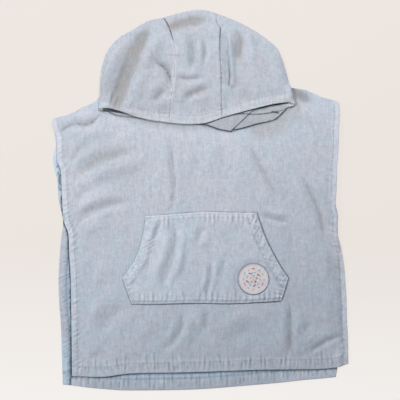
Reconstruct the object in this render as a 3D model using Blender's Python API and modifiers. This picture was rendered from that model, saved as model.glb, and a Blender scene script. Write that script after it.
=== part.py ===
"""Hooded bath poncho of terry cloth, lying flat with its front up.

The back panel lies on the surface, and the front panel lies on the back panel. A hood of three pieces is
sewn to the neckline: it is pulled forward, so that its brim lies over the chest, and the cloth turns under
at the crown and the sides and runs back below to the back neck. The two throat ends of the hood lie over
each other on the back panel, inside the front neckline. A kangaroo pocket with slanted openings lies on
the front panel, with a round badge on it.

Every piece is an open sheet with a Solidify modifier. Lengths are millimetres and are turned into metres
where a mesh is made. +X is the wearer's left, +Y runs from hem to hood, and +Z is up.
"""
import bpy
import bmesh
import numpy as np
from math import pi, sin, cos

# ---- driving dimensions (mm) ---------------------------------------------------------------------------
CLOTH = 2.4                 # wall of the terry cloth
HEM = 3.6                   # wall where the cloth is turned over at a hem
GAP = 0.3                   # clearance between pieces that are sewn or lie on each other
SIDE_HEM = 15.0             # width of the hems down the sides
BOTTOM_HEM = 25.0           # width of the hems along the bottom
BRIM_HEM = 23.0             # width of the hem round the face opening
OPENING_HEM = 25.0          # width of the hems at the pocket's slanted openings
NECK_GAP = 0.55             # clearance along the curved neck seam
HEM_STEP = 3.0              # length over which a hem runs out into the single cloth
BADGE_RADIUS = 33.0
BADGE_THICKNESS = 1.2
BADGE_CENTRE = (115.0, -170.0)
METRE = 0.001

BACK_TOP = CLOTH            # height of the back panel's upper face
FRONT_BASE = BACK_TOP + GAP  # height of the front panel's lower face where it lies on the back
FRONT_TOP = FRONT_BASE + CLOTH
FLAT_MID = CLOTH / 2        # mid-height of cloth that lies on the surface

# ---- outlines of the flat panels: rows of (x, y) --------------------------------------------------------
FRONT_LEFT = [              # from the shoulder's outer end down to the bottom hem
    (-320, 171), (-318, 158), (-311, 140), (-308, 121), (-308, 86), (-301, 67), (-299, 43), (-296, -28),
    (-292, -51), (-284, -73), (-282, -114), (-279, -163), (-278, -216), (-277, -300), (-276, -380)]
FRONT_RIGHT = [
    (300, 209), (302, 187), (300, 149), (299, 110), (296, 72), (295, 28), (293, -10), (298, -31),
    (298, -73), (304, -97), (309, -122), (313, -155), (317, -216), (318, -260), (320, -300), (321, -354)]
FRONT_BOTTOM = [            # from left to right
    (-276, -380), (-255, -381), (-209, -382), (-164, -376), (-129, -374), (-15, -372), (123, -367),
    (205, -366), (258, -365), (296, -361), (321, -354)]
SHOULDER_LEFT = [(-320, 171), (-316, 176), (-283, 185), (-256, 199), (-228, 212), (-212, 229)]
SHOULDER_RIGHT = [(191, 243), (229, 237), (260, 224), (293, 214), (300, 209)]
BACK_LEFT = [
    (-320, 171), (-316, 151), (-312, 121), (-318, 87), (-315, 66), (-309, 43), (-306, 2), (-299, -28),
    (-296, -49), (-301, -88), (-304, -129), (-306, -172), (-305, -216), (-301, -270), (-299, -330),
    (-297, -399)]
BACK_RIGHT = [
    (300, 209), (295, 117), (290, 28), (288, -11), (289, -69), (291, -173), (295, -270), (298, -350),
    (294, -383)]
BACK_BOTTOM = [
    (-297, -399), (-277, -401), (-240, -406), (-194, -410), (-149, -412), (-15, -410), (95, -402),
    (175, -395), (220, -390), (265, -386), (294, -383)]

# ---- kangaroo pocket: rows of (x, y) --------------------------------------------------------------------
POCKET_LEFT_SIDE = [(-147, -224), (-157, -197), (-167, -168)]
POCKET_LEFT_OPENING = [(-167, -168), (-137, -122), (-121, -65), (-118, -35)]
POCKET_RIGHT_SIDE = [(175, -217), (182, -195), (190, -168)]
POCKET_RIGHT_OPENING = [(190, -168), (167, -133), (140, -80), (122, -28)]
POCKET_BOTTOM = [(-147, -224), (-84, -224), (-11, -222), (67, -223), (133, -220), (175, -217)]
POCKET_TOP = [(-118, -35), (-77, -32), (7, -26), (65, -27), (122, -28)]

# ---- hood: one row for each section round the face opening -----------------------------------------------
# brim: on the hem of the face opening; rim: where the cloth turns under; neck: on the neck seam. The z of
# brim and rim is the mid-height of the upper layer, and that of neck is the mid-height of the lower one.
# A row with no rim lies flat from brim to neck.
HOOD_COLUMNS = ("brim_x", "brim_y", "brim_z", "rim_x", "rim_y", "rim_z", "neck_x", "neck_y", "neck_z")
CROWN_DEPTH = 240.0         # from the brim to the crown, at the middle of the hood
HOOD_LEFT = [
    # left throat end, which lies on the right one
    (118, 197, 6.6, None, None, None, 66.5, 148, 6.6),
    (69, 197, 6.6, None, None, None, 41, 152.5, 5.4),
    (26, 197, 4.6, None, None, None, 15, 162, 3.9),
    (-17, 195, 3.9, None, None, None, -17, 166.5, 3.9),
    (-60, 194, 3.9, None, None, None, -60, 169.5, 3.9),
    (-104, 194, 3.9, None, None, None, -104, 174, 3.9),
    (-140, 196, 3.9, None, None, None, -140, 178.5, 3.9),
    (-170, 199, 3.9, None, None, None, -170, 181.5, 3.9),
    (-182, 201, 3.9, None, None, None, -183, 184, 3.9),
    (-192, 203, 6.0, None, None, None, -194, 189, 6.0),
    # left corner of the face opening, and the side of the hood above it
    (-215, 196, 9.8, -217, 197, 9.8, -203, 197, 6.6),
    (-202, 198, 10.2, -217, 208, 9.8, -206.5, 208, 6.6),
    (-183, 195, 10.0, -216.5, 226, 9.6, -209, 218, 6.6),
    (-159, 187, 9.2, -216, 248, 9.8, -211.5, 229.5, 6.9),
    (-140, 180, 8.6, -215, 268, 6.4, -196, 222, 1.5),
    (-122, 175.5, 8.4, -211, 291, 5.2, -175, 216, 1.2),
    (-108, 172, 8.2, -199, 324, 5.0, -152, 212, 1.2),
    (-96, 170, 8.2, -175, 351, 5.0, -130, 209.5, 1.2),
    (-86, 169, 8.2, -147, 367, 5.0, -109, 208.5, 1.2),
    (-76, 167.5, 8.2, -112, 387, 5.0, -89, 207.5, 1.2),
    (-66, 166, 8.2, -79, 394, 5.0, -70, 207, 1.2)]
HOOD_CENTRE = [
    HOOD_LEFT[-1],
    (-28, 163, 8.2, -46, 404, 5.0, -36, 207, 1.2),
    (9, 165, 8.3, -8, 411, 5.0, -3, 207, 1.2),
    (30, 171, 8.6, 16, 409, 5.0, 15, 207.5, 1.2),
    (47, 177, 9.2, 38, 402, 5.0, 32, 208, 1.2)]
HOOD_RIGHT = [
    HOOD_CENTRE[-1],
    (60, 181, 9.9, 65, 392, 5.0, 50, 209.5, 1.2),
    (74, 185, 10.4, 94, 379, 5.0, 69, 211.5, 1.2),
    (90, 189, 10.6, 122, 363, 5.0, 88, 214, 1.2),
    (106, 193.5, 10.8, 146, 346, 5.0, 106, 217, 1.2),
    (124, 198, 11.0, 166, 328, 5.0, 125, 220, 1.2),
    (140, 202, 11.0, 177, 306, 5.0, 142, 223.5, 1.2),
    (155, 205.5, 10.8, 185, 281, 5.2, 158, 227.5, 1.2),
    (170, 208, 10.6, 191, 258, 6.4, 171, 231.5, 1.5),
    (182, 209.5, 10.6, 196, 241, 10.9, 190.5, 243.5, 8.0),
    (192, 210, 10.4, 200, 223, 10.2, 190, 225, 7.0),
    # right corner of the face opening, and the right throat end below the left one
    (202, 205, 9.8, 204, 204, 9.8, 189, 207, 6.6),
    (178, 210, 6.2, None, None, None, 185, 195.5, 6.2),
    (167, 210, 3.9, None, None, None, 175, 185, 3.9),
    (157, 210, 3.9, None, None, None, 163, 174.5, 3.9),
    (148, 210, 3.9, None, None, None, 149, 170, 3.9),
    (122, 208, 3.9, None, None, None, 120, 163.5, 3.9),
    (98, 205, 3.9, None, None, None, 96, 156, 3.9),
    (74, 202, 3.9, None, None, None, 74, 151, 3.9)]
HOOD_PUFF = 1.1             # how far the upper layer rises between brim and rim

# ---- largest folds: rows of (height, half width, line of points) -----------------------------------------
FRONT_FOLDS = [
    (3.0, 10, [(-262, -50), (-248, -38), (-223, -23), (-197, -8), (-164, -2)]),
    (2.6, 12, [(-249, 67), (-221, 87), (-180, 94), (-146, 110)]),
    (2.4, 12, [(104, 114), (123, 88), (141, 50), (163, 19)]),
    (3.0, 10, [(220, 50), (237, 17), (245, -3), (258, -31), (262, -64), (264, -88)]),
    (2.0, 11, [(193, -240), (195, -330)]),
    (2.0, 10, [(225, -327), (245, -314), (270, -302)]),
    (2.0, 12, [(-207, -278), (-180, -240)]),
    (2.0, 12, [(-62, 120), (-62, 23)]),
    (2.4, 10, [(-290, 158), (-268, 166), (-245, 170), (-230, 180)])]
HOOD_FOLDS = [
    (1.6, 8, [(38, 375), (59, 354), (61, 316), (65, 283), (66, 258)]),
    (-1.8, 10, [(46, 336), (50, 290), (52, 258)]),
    (-1.6, 18, [(-115, 365), (-149, 316), (-168, 275), (-176, 235)]),
    (-1.2, 10, [(-95, 218), (-76, 242)]),
    (-1.2, 9, [(-94, 286), (-76, 280), (-66, 267), (-61, 242)]),
    (-1.2, 11, [(71, 365), (86, 329), (81, 296)]),
    (-1.0, 8, [(-24, 261), (6, 261)])]
POCKET_FOLDS = [
    (1.6, 10, [(-37, -60), (-56, -91), (-58, -146), (-71, -177), (-84, -195)]),
    (1.2, 9, [(-3, -60), (-6, -100)]),
    (1.4, 9, [(23, -140), (20, -172), (12, -195)])]
POCKET_PUFF = 1.2           # how far the pocket stands off the front at its openings
UNDER_POCKET = (-175, 195, -232, -20)   # box in which the front panel lies smooth: left, right, low, high

# ---- materials: base colour, roughness, metallic ----------------------------------------------------------
CLOTH_BLUE = ("terry_pale_blue", (0.500, 0.562, 0.645), 0.95, 0.0)
TERRY_INSIDE = ("terry_inner_face", (0.330, 0.430, 0.545), 0.97, 0.0)
HOOD_BLUE = ("terry_hood_blue", (0.530, 0.590, 0.665), 0.95, 0.0)
POCKET_BLUE = ("terry_pocket_blue", (0.460, 0.522, 0.605), 0.95, 0.0)
BADGE_WHITE = ("badge_cotton", (0.720, 0.690, 0.700), 0.85, 0.0)


# ---- curves and grids -------------------------------------------------------------------------------------
def catmull_rom(rows, steps):
    """Smooth curve through every row, with the given number of steps between neighbours."""
    rows = np.asarray(rows, float)
    ends = np.concatenate([[2 * rows[0] - rows[1]], rows, [2 * rows[-1] - rows[-2]]])
    curve = []
    for i in range(len(rows) - 1):
        before, start, end, after = ends[i:i + 4]
        for k in range(steps):
            t = k / steps
            curve.append(0.5 * (2 * start + (end - before) * t
                                + (2 * before - 5 * start + 4 * end - after) * t ** 2
                                + (3 * start - before - 3 * end + after) * t ** 3))
    curve.append(rows[-1])
    return np.array(curve)


def along(rows, distances):
    """Points on the smooth curve through the rows, at the given distances from its first row."""
    curve = catmull_rom(rows, 6)
    length = np.concatenate([[0], np.cumsum(np.linalg.norm(np.diff(curve, axis=0), axis=1))])
    return np.column_stack([np.interp(distances, length, curve[:, k]) for k in range(curve.shape[1])])


def curve_length(rows):
    return np.linalg.norm(np.diff(catmull_rom(rows, 6), axis=0), axis=1).sum()


def hem_spacing(length, hem, steps):
    """Distances along an edge, in even steps up to the hem at its end, which has a line on each side."""
    return np.concatenate([np.linspace(0, length - hem, steps + 1), [length - hem + HEM_STEP, length]])


def coons_patch(bottom, top, left, right):
    """Grid of points between four edges; bottom and top run left to right, left and right run upwards."""
    across = edge_share(bottom)[None, :, None]
    upward = edge_share(left)[:, None, None]
    ruled = (1 - upward) * bottom[None] + upward * top[None]
    crossed = (1 - across) * left[:, None] + across * right[:, None]
    corners = ((1 - upward) * ((1 - across) * bottom[0] + across * bottom[-1])
               + upward * ((1 - across) * top[0] + across * top[-1]))
    return ruled + crossed - corners


def edge_share(points):
    """Share of the edge's length at each of its points, from 0 to 1."""
    length = np.concatenate([[0], np.cumsum(np.linalg.norm(np.diff(points, axis=0), axis=1))])
    return length / length[-1]


def smooth_step(low, high, value):
    t = np.clip((np.asarray(value, float) - low) / (high - low), 0, 1)
    return t * t * (3 - 2 * t)


def fold_height(x, y, folds):
    """Height that the folds add at each point: rounded ridges or troughs that fade at both ends."""
    total = np.zeros_like(x, dtype=float)
    for height, half_width, line in folds:
        line = np.asarray(line, float)
        length = np.concatenate([[0], np.cumsum(np.linalg.norm(np.diff(line, axis=0), axis=1))])
        nearest = np.full(x.shape, np.inf)
        share = np.zeros(x.shape)
        for start, end, s0, s1 in zip(line[:-1], line[1:], length[:-1], length[1:]):
            step = end - start
            t = np.clip(((x - start[0]) * step[0] + (y - start[1]) * step[1]) / (step @ step), 0, 1)
            distance = np.hypot(x - start[0] - t * step[0], y - start[1] - t * step[1])
            closer = distance < nearest
            nearest = np.where(closer, distance, nearest)
            share = np.where(closer, (s0 + t * (s1 - s0)) / length[-1], share)
        fade = smooth_step(0, 0.3, share) * smooth_step(0, 0.3, 1 - share)
        total += height * (0.25 + 0.75 * fade) * np.exp(-(nearest / half_width) ** 2)
    return total


# ---- heights of the layers --------------------------------------------------------------------------------
def back_left_x(y):
    return np.interp(-y, [-row[1] for row in BACK_LEFT], [row[0] for row in BACK_LEFT])


def back_right_x(y):
    return np.interp(-y, [-row[1] for row in BACK_RIGHT], [row[0] for row in BACK_RIGHT])


def back_bottom_y(x):
    return np.interp(x, [row[0] for row in BACK_BOTTOM], [row[1] for row in BACK_BOTTOM])


def front_base(x, y):
    """Lower face of the front panel: on the back panel, over its hems, and down to the surface beside it."""
    left_hem = 1 - smooth_step(SIDE_HEM + 4, SIDE_HEM + 22, x - back_left_x(y))
    right_hem = 1 - smooth_step(SIDE_HEM + 4, SIDE_HEM + 22, back_right_x(y) - x)
    bottom_hem = 1 - smooth_step(BOTTOM_HEM + 4, BOTTOM_HEM + 22, y - back_bottom_y(x))
    on_back = FRONT_BASE + (HEM - CLOTH) * np.maximum(np.maximum(left_hem, right_hem), bottom_hem)
    beside = smooth_step(4, 15, x - back_right_x(y))
    return on_back * (1 - beside) + front_folds(x, y)


def front_folds(x, y):
    """Folds of the front panel, which lies smooth under the pocket and the brim."""
    left, right, low, high = UNDER_POCKET
    beyond = np.maximum(np.maximum(left - x, x - right), np.maximum(low - y, y - high))
    return fold_height(x, y, FRONT_FOLDS) * smooth_step(0, 26, beyond)


def pocket_base(x, y):
    """Lower face of the pocket: on the front panel, a little open at the slanted sides."""
    height = smooth_step(-224, -190, y) * (1 - smooth_step(-60, -28, y))
    sides = smooth_step(60, 150, np.abs(x - 10))
    puff = POCKET_PUFF * height * sides + fold_height(x, y, POCKET_FOLDS)
    from_badge = np.hypot(x - BADGE_CENTRE[0], y - BADGE_CENTRE[1])
    return FRONT_TOP + GAP + puff * smooth_step(BADGE_RADIUS + 14, BADGE_RADIUS + 40, from_badge)


# ---- from grids to cloth ----------------------------------------------------------------------------------
def make_material(name, colour, roughness, metallic):
    material = bpy.data.materials.new(name)
    material.use_nodes = True
    shader = material.node_tree.nodes["Principled BSDF"]
    shader.inputs["Base Color"].default_value = (*colour, 1.0)
    shader.inputs["Roughness"].default_value = roughness
    shader.inputs["Metallic"].default_value = metallic
    return material


def add_object(name, mesh, material, collection):
    mesh.materials.append(material)
    piece = bpy.data.objects.new(name, mesh)
    collection.objects.link(piece)
    return piece


def cloth_sheet(name, grid, hemmed, side, material, collection):
    """Cloth wall on a grid of points: thicker where hemmed is 1, on the grid's upper side or about it."""
    rows, columns = grid.shape[:2]
    mesh = bpy.data.meshes.new(name)
    built = bmesh.new()
    points = [[built.verts.new(grid[i, j] * METRE) for j in range(columns)] for i in range(rows)]
    for i in range(rows - 1):
        for j in range(columns - 1):
            built.faces.new((points[i][j], points[i][j + 1], points[i + 1][j + 1], points[i + 1][j]))
    built.verts.index_update()
    weights = {points[i][j].index: float(hemmed[i, j]) for i in range(rows) for j in range(columns)}
    built.to_mesh(mesh)
    built.free()
    piece = add_object(name, mesh, material, collection)
    hem = piece.vertex_groups.new(name="hem")
    for index, weight in weights.items():
        hem.add([index], weight, "REPLACE")
    wall = piece.modifiers.new("cloth wall", "SOLIDIFY")
    wall.thickness = HEM * METRE
    wall.offset = side
    wall.vertex_group = hem.name
    wall.thickness_vertex_group = CLOTH / HEM
    wall.use_rim = True
    return piece


# ---- back and front panels --------------------------------------------------------------------------------
def neck_edge(rows, towards_hood):
    """Panel edge at the neck: the hood's neck points, moved off the hood by the gap."""
    points = np.array([(row[6], row[7]) for row in rows], float)
    heading = np.gradient(points, axis=0)
    heading /= np.linalg.norm(heading, axis=1)[:, None]
    right_hand = np.column_stack([heading[:, 1], -heading[:, 0]])
    return points - towards_hood * NECK_GAP * right_hand


def shoulder_distances(length, hem_lines, steps):
    """Distances along a shoulder: the lines of the side hem, then even steps to the neck."""
    return np.concatenate([hem_lines, np.linspace(hem_lines[-1], length, steps + 1)[1:]])


def panel_grid(neck, cut):
    """Flat grid of a panel between its shoulders, neck, sides and bottom, with lines along its hems."""
    left_shoulder = SHOULDER_LEFT[:-1] + [tuple(neck[0])]
    right_shoulder = SHOULDER_RIGHT[::-1][:-1] + [tuple(neck[-1])]
    from_left = shoulder_distances(curve_length(left_shoulder), cut["left_lines"], cut["shoulder_steps"])
    from_right = shoulder_distances(curve_length(right_shoulder), cut["right_lines"], cut["shoulder_steps"])
    top = np.vstack([along(left_shoulder, from_left), neck[1:-1],
                     along(right_shoulder, from_right)[::-1]])
    width = curve_length(cut["bottom"])
    between = np.abs(np.diff(neck[:, 0])) + 0.5 * np.abs(np.diff(neck[:, 1]))
    between = np.cumsum(between)[:-1] / between.sum()
    inner = width - from_left[-1] - from_right[-1]
    bottom = along(cut["bottom"], np.concatenate([from_left, from_left[-1] + between * inner,
                                                  (width - from_right)[::-1]]))
    left_length, right_length = curve_length(cut["left"]), curve_length(cut["right"])
    share = hem_spacing(left_length, BOTTOM_HEM, cut["side_steps"]) / left_length
    left = along(cut["left"], share * left_length)[::-1]
    right = along(cut["right"], share * right_length)[::-1]
    return coons_patch(bottom, top, left, right)


def build_panel(name, neck, cut, base, material, collection):
    flat_grid = panel_grid(neck, cut)
    x, y = flat_grid[..., 0], flat_grid[..., 1]
    hemmed = np.zeros(x.shape)
    hemmed[:2] = 1
    hemmed[:, :2] = 1
    hemmed[:, x.shape[1] - 1 - list(cut["right_lines"]).index(SIDE_HEM - HEM_STEP):] = 1
    return cloth_sheet(name, np.dstack([x, y, base(x, y)]), hemmed, 1.0, material, collection)


def on_surface(x, y):
    return np.zeros(x.shape)


def build_back(material, collection):
    hem_lines = np.array([0, SIDE_HEM - HEM_STEP, SIDE_HEM])
    cut = dict(left=BACK_LEFT, right=BACK_RIGHT, bottom=BACK_BOTTOM, left_lines=hem_lines,
               right_lines=hem_lines, shoulder_steps=3, side_steps=14)
    neck = neck_edge(HOOD_LEFT[13:] + HOOD_CENTRE[1:] + HOOD_RIGHT[1:10], -1)
    return build_panel("back_panel", neck, cut, on_surface, material, collection)


def build_front(material, collection):
    hem_lines = np.array([0, SIDE_HEM - HEM_STEP, SIDE_HEM])
    overhang_lines = np.array([0, 6, SIDE_HEM - HEM_STEP, SIDE_HEM, 20, 26, 34])
    cut = dict(left=FRONT_LEFT, right=FRONT_RIGHT, bottom=FRONT_BOTTOM, left_lines=hem_lines,
               right_lines=overhang_lines, shoulder_steps=4, side_steps=30)
    neck = np.vstack([neck_edge(HOOD_LEFT[:14], 1)[::-1], neck_edge(HOOD_RIGHT[9:], 1)[::-1]])
    return build_panel("front_panel", neck, cut, front_base, material, collection)


# ---- hood -------------------------------------------------------------------------------------------------
UPPER_SPACING = np.array([0, BRIM_HEM - HEM_STEP, BRIM_HEM, 52, 86, 120, 154, 188, 216, CROWN_DEPTH])
UPPER_SPACING /= CROWN_DEPTH
UPPER_STEPS, TURN_STEPS, LOWER_STEPS = len(UPPER_SPACING) - 1, 4, 4
HOOD_STEPS = UPPER_STEPS + TURN_STEPS + LOWER_STEPS


def hood_section(row):
    """Mid-line of the cloth from brim to neck, in one section round the face opening."""
    row = dict(zip(HOOD_COLUMNS, row))
    brim = np.array([row["brim_x"], row["brim_y"], row["brim_z"]], float)
    neck = np.array([row["neck_x"], row["neck_y"], row["neck_z"]], float)
    if row["rim_x"] is None:
        return brim + np.linspace(0, 1, HOOD_STEPS + 1)[:, None] * (neck - brim)
    radius = (row["rim_z"] - row["neck_z"]) / 2
    rim = np.array([row["rim_x"], row["rim_y"]], float)
    to_brim = (brim[:2] - rim) / np.linalg.norm(brim[:2] - rim)
    to_neck = (neck[:2] - rim) / np.linalg.norm(neck[:2] - rim)
    rim = rim + to_brim * CLOTH / 2
    upper_end = np.append(rim + to_brim * radius, row["rim_z"])
    lower_end = np.append(rim + to_neck * radius, row["neck_z"])
    upper = [brim + share * (upper_end - brim) + np.array([0, 0, HOOD_PUFF * sin(pi * share)])
             for share in UPPER_SPACING]
    turn = []
    for k in range(1, TURN_STEPS):
        angle = pi * k / TURN_STEPS
        inward = to_brim + (to_neck - to_brim) * k / TURN_STEPS
        inward /= max(np.linalg.norm(inward), 0.5)
        turn.append([*(rim + inward * radius * (1 - sin(angle))),
                     row["neck_z"] + radius * (1 + cos(angle))])
    lower = [lower_end + (neck - lower_end) * k / LOWER_STEPS for k in range(LOWER_STEPS + 1)]
    return np.vstack([upper, turn, lower])


def build_hood_piece(name, rows, steps, seam_first, seam_last, material, collection):
    """One piece of the hood: sections through its rows, a seam gap at its seams, folds on its upper layer."""
    sections = catmull_rom([hood_section(row) for row in rows], steps)
    straight_neck = np.array([hood_section(row)[-1] for row in rows])
    for i in range(len(sections)):
        low = min(i // steps, len(rows) - 2)
        share = i / steps - low
        sections[i, -1] = straight_neck[low] * (1 - share) + straight_neck[low + 1] * share
    upper_share = np.append(UPPER_SPACING, np.ones(HOOD_STEPS - UPPER_STEPS))
    turned = np.repeat([row[3] is not None for row in rows], steps)[:len(sections)]
    fade = smooth_step(0, 0.12, upper_share) * (1 - smooth_step(0.88, 1, upper_share))
    folds = fold_height(sections[..., 0], sections[..., 1], HOOD_FOLDS)
    sections[..., 2] += folds * fade[None] * turned[:, None]
    for index, inner, is_seam in ((0, 1, seam_first), (-1, -2, seam_last)):
        if is_seam:
            step = sections[inner] - sections[index]
            step /= np.linalg.norm(step, axis=1)[:, None]
            sections[index] += step * GAP * 0.6
    sections[..., 2] = np.maximum(sections[..., 2], FLAT_MID)
    hemmed = np.zeros(sections.shape[:2])
    hemmed[turned, :2] = 1
    return cloth_sheet(name, sections, hemmed, 0.0, material, collection)


# ---- pocket and badge -------------------------------------------------------------------------------------
def two_stretches(first, second, first_steps, second_steps):
    """Points on two curves that meet at a corner."""
    before = along(first, np.linspace(0, curve_length(first), first_steps + 1))
    after = along(second, np.linspace(0, curve_length(second), second_steps + 1))
    return np.vstack([before, after[1:]])


def build_pocket(material, collection):
    left = two_stretches(POCKET_LEFT_SIDE, POCKET_LEFT_OPENING, 3, 7)
    right = two_stretches(POCKET_RIGHT_SIDE, POCKET_RIGHT_OPENING, 3, 7)
    hem_share = OPENING_HEM / curve_length(POCKET_BOTTOM)
    step_share = HEM_STEP / curve_length(POCKET_BOTTOM)
    share = np.concatenate([[0, hem_share - step_share, hem_share],
                            np.linspace(hem_share, 1 - hem_share, 13)[1:-1],
                            [1 - hem_share, 1 - hem_share + step_share, 1]])
    bottom = along(POCKET_BOTTOM, share * curve_length(POCKET_BOTTOM))
    top = along(POCKET_TOP, share * curve_length(POCKET_TOP))
    flat_grid = coons_patch(bottom, top, left, right)
    x, y = flat_grid[..., 0], flat_grid[..., 1]
    hemmed = np.zeros(x.shape)
    hemmed[:, :2] = 1
    hemmed[:, -2:] = 1
    grid = np.dstack([x, y, pocket_base(x, y)])
    return cloth_sheet("kangaroo_pocket", grid, hemmed, 1.0, material, collection)


def build_badge(material, collection):
    mesh = bpy.data.meshes.new("badge")
    built = bmesh.new()
    bmesh.ops.create_cone(built, cap_ends=True, segments=36, radius1=BADGE_RADIUS * METRE,
                          radius2=BADGE_RADIUS * METRE, depth=BADGE_THICKNESS * METRE)
    built.to_mesh(mesh)
    built.free()
    badge = add_object("badge", mesh, material, collection)
    base = FRONT_TOP + GAP + CLOTH + GAP
    badge.location = (BADGE_CENTRE[0] * METRE, BADGE_CENTRE[1] * METRE,
                      (base + BADGE_THICKNESS / 2) * METRE)
    edge = badge.modifiers.new("soft edge", "BEVEL")
    edge.width = 0.3 * METRE
    edge.segments = 1
    return badge


# ---- the whole garment ------------------------------------------------------------------------------------
def centre_on_origin(pieces):
    """Move the pieces so that the middle of the box round them stands over the origin."""
    bpy.context.view_layer.update()
    graph = bpy.context.evaluated_depsgraph_get()
    corners = []
    for piece in pieces:
        evaluated = piece.evaluated_get(graph)
        corners += [evaluated.matrix_world @ vertex.co for vertex in evaluated.data.vertices]
    corners = np.array(corners)
    middle = (corners.min(axis=0) + corners.max(axis=0)) / 2
    for piece in pieces:
        piece.location.x -= middle[0]
        piece.location.y -= middle[1]


def build_poncho():
    for thing in list(bpy.data.objects):
        bpy.data.objects.remove(thing, do_unlink=True)
    collection = bpy.data.collections.new("hooded_bath_poncho")
    bpy.context.scene.collection.children.link(collection)
    blue, inside, hood, pocket, white = [make_material(*values) for values in (
        CLOTH_BLUE, TERRY_INSIDE, HOOD_BLUE, POCKET_BLUE, BADGE_WHITE)]
    pieces = [
        build_back(inside, collection),
        build_front(blue, collection),
        build_hood_piece("hood_left", HOOD_LEFT, 2, False, True, hood, collection),
        build_hood_piece("hood_centre", HOOD_CENTRE, 2, True, True, hood, collection),
        build_hood_piece("hood_right", HOOD_RIGHT, 2, True, False, hood, collection),
        build_pocket(pocket, collection),
        build_badge(white, collection)]
    centre_on_origin(pieces)


build_poncho()
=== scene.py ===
"""Looks of the hooded bath poncho: fine cloth shells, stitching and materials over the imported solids.

Every piece of cloth is a closed thin shell that takes its form from the same tables as its solid. Outlines
are in raw millimetres, with the photograph's middle as origin: X to the right, Y towards the hood, Z up.
Folds are drawn as lines in pixels of the 400 x 400 photograph and turned into the same millimetres.
"""
from functools import reduce
from math import pi, sin, cos
import bpy
import numpy as np
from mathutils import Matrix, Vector
from mathutils.bvhtree import BVHTree


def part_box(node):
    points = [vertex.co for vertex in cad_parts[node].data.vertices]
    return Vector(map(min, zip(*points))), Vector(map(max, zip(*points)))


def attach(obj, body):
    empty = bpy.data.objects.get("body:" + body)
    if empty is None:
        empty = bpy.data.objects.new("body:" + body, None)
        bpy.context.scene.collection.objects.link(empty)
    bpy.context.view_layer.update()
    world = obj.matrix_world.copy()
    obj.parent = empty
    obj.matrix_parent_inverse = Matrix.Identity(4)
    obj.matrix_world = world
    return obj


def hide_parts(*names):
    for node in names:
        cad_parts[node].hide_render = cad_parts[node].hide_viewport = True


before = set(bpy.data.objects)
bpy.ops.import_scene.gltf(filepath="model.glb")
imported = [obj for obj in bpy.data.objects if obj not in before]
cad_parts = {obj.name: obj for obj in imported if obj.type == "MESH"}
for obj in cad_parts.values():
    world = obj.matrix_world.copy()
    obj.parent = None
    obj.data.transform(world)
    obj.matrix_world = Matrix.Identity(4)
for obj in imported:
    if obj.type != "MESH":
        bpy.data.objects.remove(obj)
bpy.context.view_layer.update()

# ---- sizes shared with the solids (mm)
CLOTH, HEM, GAP = 2.4, 3.6, 0.3
SIDE_HEM, BOTTOM_HEM, BRIM_HEM, OPENING_HEM = 15.0, 25.0, 22.0, 25.0
NECK_GAP = 0.55
BADGE_RADIUS, BADGE_THICKNESS, BADGE_CENTRE = 33.0, 1.2, (115.0, -170.0)
FRONT_BASE = CLOTH + GAP

# ---- scale and grids
METRE = 0.001
PICTURE, PIXEL = 400, 2.158     # side of the photograph in pixels, and the mm of one pixel
EDGE_LINES = [0, 0.12, 0.4, 0.9, 1.6, 2.8]   # grid lines that round an edge, from the edge inwards
EDGE_FADE = 3                   # puckers and creases fade out over this distance from an edge
EDGE_RADIUS, POCKET_EDGE, HOOD_EDGE, SEAM_EDGE = 1.7, 1.8, 1.9, 0.3
STITCH_INSET, BRIM_STITCH = 3, 2.5   # stitching lies this far inside the inner edge of a hem, and of the brim
EDGE_STITCH = 4                 # and this far from the pocket's outer edges
NOISE_CELLS, NOISE_ORIGIN = 97, 1000
UP = np.array([0, 0, 1.0])

low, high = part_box("badge")
SHIFT = np.array([(low.x + high.x) / 2 / METRE - BADGE_CENTRE[0],
                  (low.y + high.y) / 2 / METRE - BADGE_CENTRE[1], 0.0])

# ---- outlines of the flat panels: rows of (x, y)
FRONT_LEFT = [
    (-320, 171), (-318, 158), (-311, 140), (-308, 121), (-308, 86), (-301, 67), (-299, 43), (-296, -28),
    (-292, -51), (-284, -73), (-282, -114), (-279, -163), (-278, -216), (-277, -300), (-276, -380)]
FRONT_RIGHT = [
    (300, 209), (302, 187), (300, 149), (299, 110), (296, 72), (295, 28), (293, -10), (298, -31),
    (298, -73), (304, -97), (309, -122), (313, -155), (317, -216), (318, -260), (320, -300), (321, -354)]
FRONT_BOTTOM = [
    (-276, -380), (-255, -381), (-209, -382), (-164, -376), (-129, -374), (-15, -372), (123, -367),
    (205, -366), (258, -365), (296, -361), (321, -354)]
SHOULDER_LEFT = [(-320, 171), (-316, 176), (-283, 185), (-256, 199), (-228, 212), (-212, 229)]
SHOULDER_RIGHT = [(191, 243), (229, 237), (260, 224), (293, 214), (300, 209)]
BACK_LEFT = [
    (-320, 171), (-316, 151), (-312, 121), (-318, 87), (-315, 66), (-309, 43), (-306, 2), (-299, -28),
    (-296, -49), (-301, -88), (-304, -129), (-306, -172), (-305, -216), (-301, -270), (-299, -330),
    (-297, -399)]
BACK_RIGHT = [
    (300, 209), (295, 117), (290, 28), (288, -11), (289, -69), (291, -173), (295, -270), (298, -350),
    (294, -383)]
BACK_BOTTOM = [
    (-297, -399), (-277, -401), (-240, -406), (-194, -410), (-149, -412), (-15, -410), (95, -402),
    (175, -395), (220, -390), (265, -386), (294, -383)]

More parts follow.
